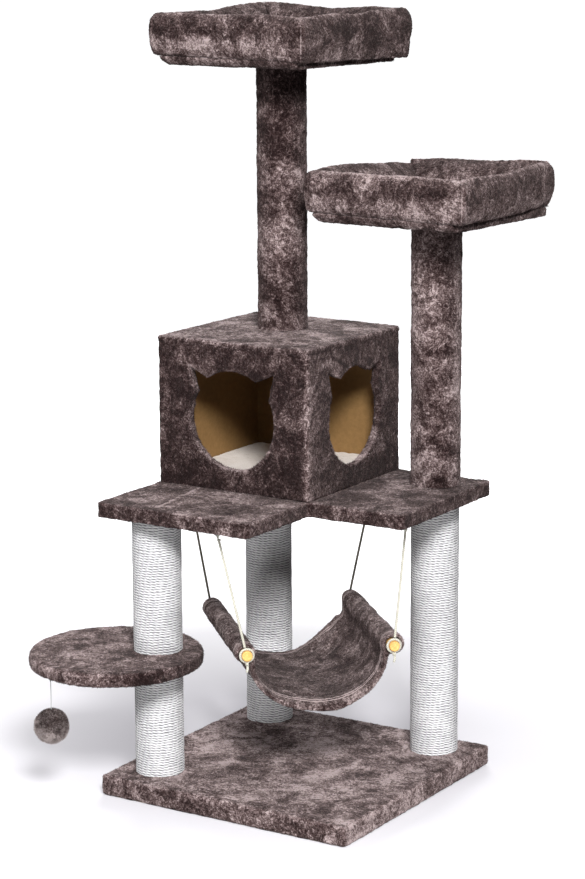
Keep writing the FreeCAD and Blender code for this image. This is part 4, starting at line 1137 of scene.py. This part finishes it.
def perch_rim(prefix, seed):
    """Four stuffed segments sewn together at the corners."""
    radii, before, after, pulls, notches, skirts = map(np.array, RIM_CORNERS[prefix])
    columns, rows = 560, 96
    section = section_points(rows)
    share = np.repeat(np.linspace(0, 1, columns, endpoint=False), rows)
    out = np.tile(section[:, 0], columns)
    lift = np.tile(section[:, 1], columns)
    side = np.floor(share * 4).astype(int) % 4
    from_corner = np.abs(share * 4 - np.floor(share * 4) - 0.5)
    near = np.clip(1 - from_corner / 0.5, 0, 1)
    seam = bell(from_corner, 0.032)
    stitches = bell(from_corner, 0.011)
    past = np.clip((share * 4 - np.floor(share * 4) - 0.5) / 0.02 + 0.5, 0, 1)
    drops = before[side] * (1 - past) + after[side] * past
    notch = notches[side] * bell(from_corner, 0.075)
    pinch = bell(from_corner, 0.11)
    full = bell(from_corner - 0.20, 0.13)
    high = np.clip(lift / BOLSTER_HEIGHT, 0, 1)
    circle = np.column_stack([np.cos(share * 6.283), np.sin(share * 6.283), high])
    wander = field(circle, 0.33, seed)
    small = field(circle, 0.12, seed + 1)
    sag = np.clip((from_corner - 0.16) / 0.34, 0, 1) ** 2
    crest = bell(out - 0.0100, 0.0038) * (lift > 0.06)
    belly = np.sin(high * math.pi)
    lift = lift - high * (drops * near + 0.0055 * sag + notch) + 0.0018 * wander * high
    lift += 0.0012 * crest
    swell = 0.0012 * full - 0.0016 * pinch + 0.0012 * wander + 0.0007 * small
    out = out + np.where(out > -0.010, 1, -1) * swell * belly - 0.0022 * seam * belly
    outer = np.clip(out / 0.010, 0, 1)
    out = out - outer * pulls[side] * near
    corner_share = np.array([-0.125, 0.125, 0.375, 0.625, 0.875, 1.125])
    skirt = np.interp(share, corner_share, skirts[[3, 0, 1, 2, 3, 0]])
    lift = lift - skirt * outer * np.clip(1 - lift / 0.030, 0, 1)
    x, y = loop_place(share, out, radii)
    points = np.column_stack([x, y, lift + 0.0004])
    faces = grid_faces(columns, rows, closed_rows=True, closed_columns=True)
    rim = new_piece(f"{prefix}_bolster", points, faces)

    def nap(points, normals):
        broken = 0.6 + 0.4 * field(points, 0.02, 9)
        brushed = bell(high - 0.25, 0.22) * outer
        front = np.clip(1.6 - np.abs(share - 0.72) / 0.10, 0, 1)
        return (
            RIM_PAINTED_LIGHT[prefix] + (0.8 * seam * broken + 2.4 * stitches) * belly
            + 1.9 * crest * broken
            + (0.25 + 0.75 * front) * brushed * (0.6 + 0.4 * wander)
            - 0.45 * bell(high - 0.62, 0.2) * outer
        )

    twisted(rim, perch_middle(prefix))
    furred(rim, seed, nap=nap, top=0.35)
    fuzzy(rim, 18000, seed + 3)
    finish_piece(rim, PLUSH, "plush", "root", f"{prefix}_rim")


def perch_board(prefix, seed):
    middle = perch_middle(prefix)
    low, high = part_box(f"{prefix}_board_plush")
    half = (PERCH_HALF[0] + PILE_OUT, PERCH_HALF[1] + PILE_OUT)
    outline = box_outline((-half[0], -half[1]), half, 0.013)
    cover = plate(f"{prefix}_board_cover", outline, low.z - high.z, -0.0004)
    twisted(cover, middle)
    cover = remeshed(bevelled(cover, 0.004), VOXEL)
    points = points_of(cover)
    rise = np.clip((points[:, 2] - low.z) / (high.z - low.z), 0, 1)
    spread = FLARE * np.sin(rise * math.pi / 2)
    points[:, 0] -= spread * np.clip(0.5 - (points[:, 0] - middle.x) / (2 * half[0]), 0, 1)
    points[:, 1] -= spread * np.clip(0.5 - (points[:, 1] - middle.y) / (2 * half[1]), 0, 1)
    move_points(cover, points)
    furred(cover, seed, nap=lambda points, normals: 0.45 + 0.3 * field(points, 0.03, 3))
    fuzzy(cover, 7000, seed + 3, on_edges)
    finish_piece(cover, PLUSH, "plush", "root", f"{prefix}_board_plush")


def perch_pad(prefix, seed):
    inset = BOLSTER_IN + 0.002
    half_x, half_y = PERCH_HALF[0] - inset, PERCH_HALF[1] - inset
    outline = box_outline((-half_x, -half_y), (half_x, half_y), 0.018)
    pad = remeshed(bevelled(plate(f"{prefix}_cushion", outline, 0.0004, 0.0085), 0.0035), VOXEL)
    points = points_of(pad)
    reach_x = 1 - (points[:, 0] / half_x) ** 2
    reach_y = 1 - (points[:, 1] / half_y) ** 2
    crown = np.clip(reach_x, 0, 1) ** 0.5 * np.clip(reach_y, 0, 1) ** 0.5
    points[:, 2] += np.where(points[:, 2] > 0.005, 0.0035 * crown, 0)
    move_points(pad, points)
    twisted(pad, perch_middle(prefix))
    furred(pad, seed)
    finish_piece(pad, PLUSH, "plush", "root", f"{prefix}_pad")


# ---------------------------------------------------------------- ropes


def diagonal(along, across, height):
    """Point in the hammock's own directions, in millimetres."""
    return Vector((
        (along - across) * HALF_ROOT * MM, (along + across) * HALF_ROOT * MM, height * MM,
    ))


def points_along(route):
    """Points of a smooth curve that has the route's points as its control points."""
    curve = bpy.data.curves.new("route", "CURVE")
    curve.dimensions = "3D"
    curve.resolution_u = 24
    line = curve.splines.new("NURBS")
    line.points.add(len(route) - 1)
    for point, place in zip(line.points, route):
        point.co = (*place, 1)
    line.order_u = 3
    line.use_endpoint_u = True
    holder = bpy.data.objects.new("route", curve)
    bpy.context.scene.collection.objects.link(holder)
    graph = bpy.context.evaluated_depsgraph_get()
    mesh = bpy.data.meshes.new_from_object(holder.evaluated_get(graph))
    places = [v.co.copy() for v in mesh.vertices]
    bpy.data.objects.remove(holder)
    bpy.data.meshes.remove(mesh)
    bpy.data.curves.remove(curve)
    return places


def evenly(places, step):
    """The same line, cut into equal short steps."""
    places = np.array([tuple(p) for p in places])
    run = np.concatenate([[0], np.cumsum(np.linalg.norm(np.diff(places, axis=0), axis=1))])
    count = max(int(run[-1] / step), 2)
    even = np.linspace(0, run[-1], count + 1)
    return np.column_stack([np.interp(even, run, places[:, k]) for k in range(3)]), even


STRAND_RELIEF = 0.16
ROPE_SIDES = 12


def rope_mesh(name, places, radius, step, lay, strands=3, closed=False):
    """Twisted rope along a line: its strands bulge and turn once in every lay length."""
    line, run = evenly(places, step)
    if closed:
        line, run = line[:-1], run[:-1]
    tangents = np.gradient(line, axis=0)
    if closed:
        tangents = np.roll(line, -1, axis=0) - np.roll(line, 1, axis=0)
    tangents /= np.linalg.norm(tangents, axis=1)[:, None]
    side = np.cross(tangents[0], (0.31, 0.17, 0.94))
    side /= np.linalg.norm(side)
    vertices, groove_shades = [], []
    for place, tangent, reach in zip(line, tangents, run):
        side = side - tangent * (side @ tangent)
        side /= np.linalg.norm(side)
        other = np.cross(tangent, side)
        for index in range(ROPE_SIDES):
            angle = 2 * math.pi * index / ROPE_SIDES
            wave = math.cos(strands * (angle - 2 * math.pi * reach / lay))
            size = radius * (1 - STRAND_RELIEF / 2 + STRAND_RELIEF / 2 * wave)
            vertices.append(place + size * (math.cos(angle) * side + math.sin(angle) * other))
            # Depth between strands, for the painted shade in the grooves.
            groove_shades.append(0.5 - 0.5 * wave)
    faces = grid_faces(len(line), ROPE_SIDES, closed_rows=closed, closed_columns=True)
    if not closed:
        faces.append(tuple(reversed(range(ROPE_SIDES))))
        faces.append(tuple(range((len(line) - 1) * ROPE_SIDES, len(line) * ROPE_SIDES)))
    rope = new_piece(name, vertices, faces)
    set_values(rope, "groove", groove_shades)
    return rope


KNOT_STEPS = 60
RING_STEPS = 48


def knot_points(centre, size, axis):
    """Line of an overhand knot about a point: a trefoil pulled tight."""
    axis = Vector(axis).normalized()
    side = axis.cross(Vector((0.2, 0.5, 0.9))).normalized()
    other = axis.cross(side)
    places = []
    for index in range(KNOT_STEPS + 1):
        turn = 2 * math.pi * index / KNOT_STEPS
        flat_x = math.sin(turn) + 2 * math.sin(2 * turn)
        flat_y = math.cos(turn) - 2 * math.cos(2 * turn)
        lift = -math.sin(3 * turn)
        places.append(Vector(centre) + size * (flat_x * side + flat_y * other + 1.3 * lift * axis))
    return places


def ring_points(centre, radius, first, second):
    return [
        Vector(centre) + radius * (math.cos(t) * Vector(first) + math.sin(t) * Vector(second))
        for t in np.linspace(0, 2 * math.pi, RING_STEPS + 1)
    ]


# ---------------------------------------------------------------- hammock

ALONG = Vector((HALF_ROOT, HALF_ROOT, 0))
ACROSS = Vector((-HALF_ROOT, HALF_ROOT, 0))
UPWARDS = Vector((0, 0, 1))
HINGE_HEIGHT = 483
DOWEL_HEIGHT = 283
EYE_ALONG = 163
EYE_ACROSS = 121
FOOT_ALONG = {"left": -123, "right": 132}
FOOT_ACROSS = 161
KNOT_DROP = 8
FOOT_STOP = 13.9
CORD_BOW = 2
CORD_RADIUS = 2.25
DOWEL_RADIUS = 9


CORD_LAY = 0.011
FLIP = {"inner": 1, "outer": -1}
EYE_SIDE = {"left": -1, "right": 1}
CORD_LOOK = {"inner": (DARK_CORD, "dark_cord"), "outer": (CREAM_CORD, "cream_cord")}


def cord_ends(row, side):
    """A cord's eye, its dowel's end and the way down; row is inner or outer."""
    eye = diagonal(EYE_SIDE[side] * EYE_ALONG, FLIP[row] * EYE_ACROSS, HINGE_HEIGHT)
    foot = diagonal(FOOT_ALONG[side], FLIP[row] * FOOT_ACROSS, DOWEL_HEIGHT)
    return eye, foot, (foot - eye).normalized()


def length_of(line):
    return sum((b - a).length for a, b in zip(line, line[1:]))


def hammock_cord(row, side):
    """One cord from its loop's knot to its dowel."""
    eye, foot, down = cord_ends(row, side)
    top = eye + down * KNOT_DROP * MM
    low = foot - down * FOOT_STOP * MM
    middle = (top + low) / 2 + diagonal(0, FLIP[row] * CORD_BOW, 0)
    line = points_along([top, middle, low])
    rope = rope_mesh(f"{row}_{side}_rope", line, CORD_RADIUS * MM, 0.0012, CORD_LAY)
    finish_piece(rope, *CORD_LOOK[row], f"{row}_cords", f"{row}_{side}_cord")
    return rope, top, length_of(line), line


def eye_loops(row):
    """Loops of cord through two screw eyes, each tied off in a knot."""
    parts = []
    for side in ("left", "right"):
        eye, _, down = cord_ends(row, side)
        loop = ring_points(eye, 0.004, ACROSS, UPWARDS)
        parts.append(rope_mesh("loop", loop, 0.0017, 0.0008, 0.009, closed=True))
        knot = knot_points(eye + down * KNOT_DROP * MM, 0.00072, down)
        parts.append(rope_mesh("knot", knot, 0.0017, 0.0007, 0.009, closed=True))
    loops = joined(f"{row}_eye_loops", *parts)
    finish_piece(loops, *CORD_LOOK[row], f"{row}_cords", f"{row}_cord_loops")


def dowel_ties():
    """A turn of cord round each dowel's end, a knot and a short tail."""
    parts = []
    for side in ("left", "right"):
        for flip in (1, -1):
            foot = diagonal(FOOT_ALONG[side], flip * FOOT_ACROSS, DOWEL_HEIGHT)
            reach = (DOWEL_RADIUS + CORD_RADIUS) * MM
            parts.append(rope_mesh(
                "turn", ring_points(foot, reach, ALONG, UPWARDS), CORD_RADIUS * MM, 0.0012,
                CORD_LAY, closed=True,
            ))
            knot_centre = foot + flip * 0.0012 * ACROSS - UPWARDS * 0.0137
            parts.append(rope_mesh(
                "knot", knot_points(knot_centre, 0.00098, ALONG), CORD_RADIUS * MM * 0.9,
                0.0008, CORD_LAY, closed=True,
            ))
            tail = [
                knot_centre, knot_centre - 0.005 * UPWARDS + 0.0012 * ALONG,
                knot_centre - 0.0105 * UPWARDS + 0.0006 * ALONG + flip * 0.001 * ACROSS,
                knot_centre - 0.0150 * UPWARDS - 0.0004 * ALONG,
            ]
            parts.append(rope_mesh(
                "tail", points_along(tail), CORD_RADIUS * MM, 0.001, CORD_LAY
            ))
    ties = joined("dowel_rope_ties", *parts)
    finish_piece(ties, CREAM_CORD, "cream_cord", "hammock", "dowel_cord_ties")


SLING_MIDDLE = 0.0045
SLING_HALF = 0.1275
CLOTH_HALF = 0.152


def hammock_sling():
    """The sheet with its two dowel sleeves, sagging a little more between them."""
    source = NODES["hammock_cloth"].data.copy()
    sling = bpy.data.objects.new("hammock_sling", source)
    bpy.context.scene.collection.objects.link(sling)
    sling.data.transform(Matrix.Rotation(-math.radians(45), 4, "Z"))
    remeshed(sling, VOXEL)
    points = points_of(sling)
    u = (points[:, 0] - SLING_MIDDLE) / SLING_HALF
    v = points[:, 1] / CLOTH_HALF
    sheet_part = np.clip((0.262 - points[:, 2]) / 0.03, 0, 1)
    near_side, far_side = np.clip(-v, 0, 1), np.clip((v + 0.2) / 1.2, 0, 1)
    droop = np.clip((-v - 0.86) / 0.14, 0, 1) * np.clip(1.25 - np.abs(u), 0, 1)
    taut = far_side ** 1.5 * bell(u - 0.66, 0.34)
    slack = near_side * bell(u - 0.25, 0.35)
    lift = 0.023 * taut - 0.005 * slack - 0.009 * droop - 0.0025 * (1 - v ** 2)
    beside = bell(v + 0.70 + 0.05 * u, 0.040)
    second = bell(v + 0.42 - 0.18 * u, 0.045)
    from_left = np.clip((0.35 - u) / 0.4, 0, 1)
    lift += from_left * (0.0028 * beside + 0.0024 * second)
    turn = np.arctan2(v - 1.05, u - 1.05)
    reach = np.hypot(v - 1.05, u - 1.05)
    spread = bell(reach - 0.75, 0.45)
    lift += 0.0022 * spread * np.cos(turn * 15 + 1.5 * field(points, 0.05, 73))
    lift += 0.0012 * field(points, 0.03, 74) * np.clip(1 - np.abs(v), 0, 1)
    points[:, 2] += sheet_part * lift
    axis = np.where(points[:, 0] < 0, FOOT_ALONG["left"], FOOT_ALONG["right"]) * MM
    from_axis = np.column_stack([points[:, 0] - axis, points[:, 2] - DOWEL_HEIGHT * MM])
    from_axis /= np.linalg.norm(from_axis, axis=1)[:, None]
    loose = 0.0025 + 0.0012 * field(points, 0.022, 76)
    loose += 0.005 * np.clip(-v - 0.2, 0, 1) * (points[:, 0] > 0) * np.clip(from_axis[:, 0], 0, 1)
    points[:, [0, 2]] += ((1 - sheet_part) * loose)[:, None] * from_axis
    move_points(sling, points)

    def nap(points, normals):
        roll = np.clip((points[:, 2] - 0.27) / 0.02, 0, 1)
        hem = np.clip((np.abs(v) - 0.86) / 0.06, 0, 1)
        return (
            0.55 * hem + 0.55 * roll + 0.3 * from_left * (beside + second)
            + 0.5 * np.clip(-normals[:, 2], 0, 1)
        )

    furred(sling, 71, depth=0.001, nap=nap, top=0.1)
    sling.data.transform(Matrix.Rotation(math.radians(45), 4, "Z"))
    sling.data.update()
    fuzzy(sling, 14000, 75)
    finish_piece(sling, HAMMOCK_PLUSH, "hammock_plush", "hammock", "hammock_cloth")


def hammock():
    for row in ("inner", "outer"):
        eye_loops(row)
    for row in ("inner", "outer"):
        for side in ("left", "right"):
            rope, top, length, line = hammock_cord(row, side)
    dowel_ties()
    hammock_sling()


# ---------------------------------------------------------------- pompom

TOY = (-292, -327)
TOY_HINGE = 224
TOY_STRING_TOP = 220
TOY_STRING_LOW = 169.6
STRING_RADIUS = 0.8


def toy():
    x, y = TOY[0] * MM, TOY[1] * MM
    top = Vector((x, y, TOY_STRING_TOP * MM))
    low = Vector((x, y, TOY_STRING_LOW * MM))
    middle = (top + low) / 2 + Vector((0.5 * MM, 0, 0))
    line = points_along([top, middle, low])
    string = rope_mesh("toy_cord", line, STRING_RADIUS * MM, 0.0006, 0.004, strands=2)
    finish_piece(string, WHITE_STRING, "white_string", "string", "toy_string")
    hinge = Vector((x, y, TOY_HINGE * MM))
    loop = rope_mesh(
        "loop", ring_points(hinge, 0.0024, Vector((0, 1, 0)), UPWARDS), 0.0007, 0.0004, 0.004,
        strands=2, closed=True,
    )
    knot = rope_mesh(
        "knot", knot_points(hinge - 0.0040 * UPWARDS, 0.00032, UPWARDS), 0.0007, 0.0003, 0.004,
        strands=2, closed=True,
    )
    tie = joined("toy_cord_loop", loop, knot)
    finish_piece(tie, WHITE_STRING, "white_string", "string", "toy_string_loop")
    pompom()


def pompom():
    """Clipped ball of pile: tapered fibres standing out from a dense core."""
    x, y, radius, low, high = axis_of("toy_pompom")
    centre = np.array([x, y, (low + high) / 2])
    work = bmesh.new()
    bmesh.ops.create_icosphere(work, subdivisions=6, radius=radius - 0.001)
    core = new_piece("pompom_core", [v.co for v in work.verts], [
        [v.index for v in f.verts] for f in work.faces
    ])
    work.free()

    def shades(out):
        """Painted shade and light: a dark crown and a light underside on the left, with tufts in
        between.
        """
        tufts = 0.6 * field(out, 0.35, 83) + 0.6 * field(out, 0.16, 84)
        return 0.35 - 1.5 * (0.35 * out[:, 0] - 0.15 * out[:, 1] + out[:, 2]) + 0.9 * tufts

    points, normals = points_of(core), normals_of(core)
    clumps = 0.7 * field(points, 0.010, 81) + 0.4 * field(points, 0.005, 82)
    dimple = bell(1 - normals[:, 2], 0.04)
    lift = 0.0022 * clumps - 0.004 * dimple
    move_points(core, points + normals * lift[:, None] + centre)
    set_values(core, "nap", shades(normals) - 0.3)
    rng = np.random.default_rng(5)
    count = 12000
    out = rng.normal(size=(count, 3))
    out /= np.linalg.norm(out, axis=1)[:, None]
    out = out[out[:, 2] < 0.985]
    count = len(out)
    roots = centre + out * (radius - 0.0025)
    ways = out + rng.normal(scale=0.30, size=(count, 3))
    lengths = 0.0055 * (1 + 0.25 * field(out, 0.3, 85)) * rng.uniform(0.75, 1.1, count)
    naps_and_painted_light = shades(out) + rng.normal(scale=0.3, size=count)
    fibres = fibre_mesh(roots, ways, lengths, 0.00045, naps_and_painted_light, rng)
    ball = joined("pompom_ball", core, fibres)
    finish_piece(ball, POMPOM_PILE, "pompom_pile", "pompom", "toy_pompom")


# ---------------------------------------------------------------- stage, light and camera


def stage():
    """Pale studio bowl: a wide floor that curves up all round, far from the tree."""
    floor_radius, curve, top = 14.0, 3.0, 14.0
    profile = [(0.001, 0.0), (0.4, 0.0), (2.0, 0.0), (6.0, 0.0), (floor_radius, 0.0)]
    for turn in np.radians(np.linspace(9, 90, 10)):
        profile.append((floor_radius + curve * math.sin(turn), curve * (1 - math.cos(turn))))
    profile.append((floor_radius + curve, top))
    turns = np.linspace(0, 2 * math.pi, 72, endpoint=False)
    vertices = [(r * math.cos(a), r * math.sin(a), z) for r, z in profile for a in turns]
    faces = grid_faces(len(profile), len(turns), closed_columns=True)
    floor = new_piece("studio_floor", vertices, faces)
    dress(floor, stage_material())
    floor.visible_diffuse = False
    floor.visible_glossy = False
    floor.visible_shadow = False


def lamp(name, place, target, size, power):
    """Flat lamp aimed at a point; the camera doesn't see it."""
    light = bpy.data.lights.new(name, "AREA")
    light.shape = "RECTANGLE"
    light.size, light.size_y = size
    light.energy = power
    holder = bpy.data.objects.new(name, light)
    bpy.context.scene.collection.objects.link(holder)
    holder.location = place
    holder.visible_camera = False
    way = Vector(target) - Vector(place)
    holder.rotation_euler = way.to_track_quat("-Z", "Y").to_euler()


def aimed(azimuth, elevation, distance):
    """Place of a lamp that shines on the tree, by its direction from the front."""
    azimuth, elevation = math.radians(azimuth), math.radians(elevation)
    return (
        distance * math.cos(elevation) * math.sin(azimuth),
        -distance * math.cos(elevation) * math.cos(azimuth),
        0.5 + distance * math.sin(elevation),
    )


def lights():
    lamp("key_light", aimed(39, 34, 4.5), (0, 0, 0.5), (0.9, 0.9), 315)
    lamp("fill_light", aimed(-50, 22, 4.0), (0, 0, 0.6), (1.6, 1.6), 72)
    lamp("back_light", aimed(208, 20, 4.5), (0, 0, 0.6), (2.0, 2.0), 140)
    lamp("side_bounce", (1.05, -0.15, 0.04), (0.2, -0.05, 0.10), (0.6, 0.1), 4.5)
    lamp("floor_bounce", (0.15, -1.35, 0.02), (-0.12, -0.2, 0.16), (1.2, 0.3), 9)
    world = bpy.data.worlds.new("studio")
    world.use_nodes = True
    background = world.node_tree.nodes["Background"]
    background.inputs["Color"].default_value = (0.98, 0.99, 1.0, 1)
    background.inputs["Strength"].default_value = 0.10
    bpy.context.scene.world = world


CAMERA_PLACE = Vector((2.331, -3.6667, 1.5279))
CAMERA_YAW = math.radians(32.75)
CAMERA_PITCH = math.radians(11.57)
CAMERA_ROLL = math.radians(-0.33)
CAMERA_LENS = 105.65
CAMERA_SHIFT = (0.0108, -0.0155)


def camera():
    ahead = Vector((
        -math.sin(CAMERA_YAW) * math.cos(CAMERA_PITCH),
        math.cos(CAMERA_YAW) * math.cos(CAMERA_PITCH),
        -math.sin(CAMERA_PITCH),
    ))
    level = Vector((math.cos(CAMERA_YAW), math.sin(CAMERA_YAW), 0))
    above = level.cross(ahead)
    right = math.cos(CAMERA_ROLL) * level + math.sin(CAMERA_ROLL) * above
    up = -math.sin(CAMERA_ROLL) * level + math.cos(CAMERA_ROLL) * above
    lens = bpy.data.cameras.new("view")
    lens.lens = CAMERA_LENS
    lens.sensor_width = 36
    lens.shift_x, lens.shift_y = CAMERA_SHIFT
    lens.clip_end = 60
    holder = bpy.data.objects.new("view", lens)
    bpy.context.scene.collection.objects.link(holder)
    turn = Matrix((right, up, -ahead)).transposed().to_4x4()
    holder.matrix_world = Matrix.Translation(CAMERA_PLACE) @ turn
    bpy.context.scene.camera = holder


camera()
lights()
stage()
hammock()
toy()
base_cover()
step_cover()
shelf_cover()
condo_cover()
condo_roof_cover()
fleece_mat()
plush_post("tall_post_cover", "tall_post_plush", 91)
plush_post("short_post_cover", "short_post_plush", 101, level=0.75)
for rope_name, sisal_node in (
    ("front_lower_winding", "front_post_lower_sisal"),
    ("front_upper_winding", "front_post_upper_sisal"),
    ("back_winding", "back_post_sisal"),
    ("right_winding", "right_post_sisal"),
):
    sisal_winding(rope_name, sisal_node)
for perch_name, perch_seed in (("top_perch", 111), ("low_perch", 131)):
    perch_rim(perch_name, perch_seed)
    perch_board(perch_name, perch_seed + 5)
    perch_pad(perch_name, perch_seed + 9)


bpy.context.scene.view_settings.view_transform = "Standard"
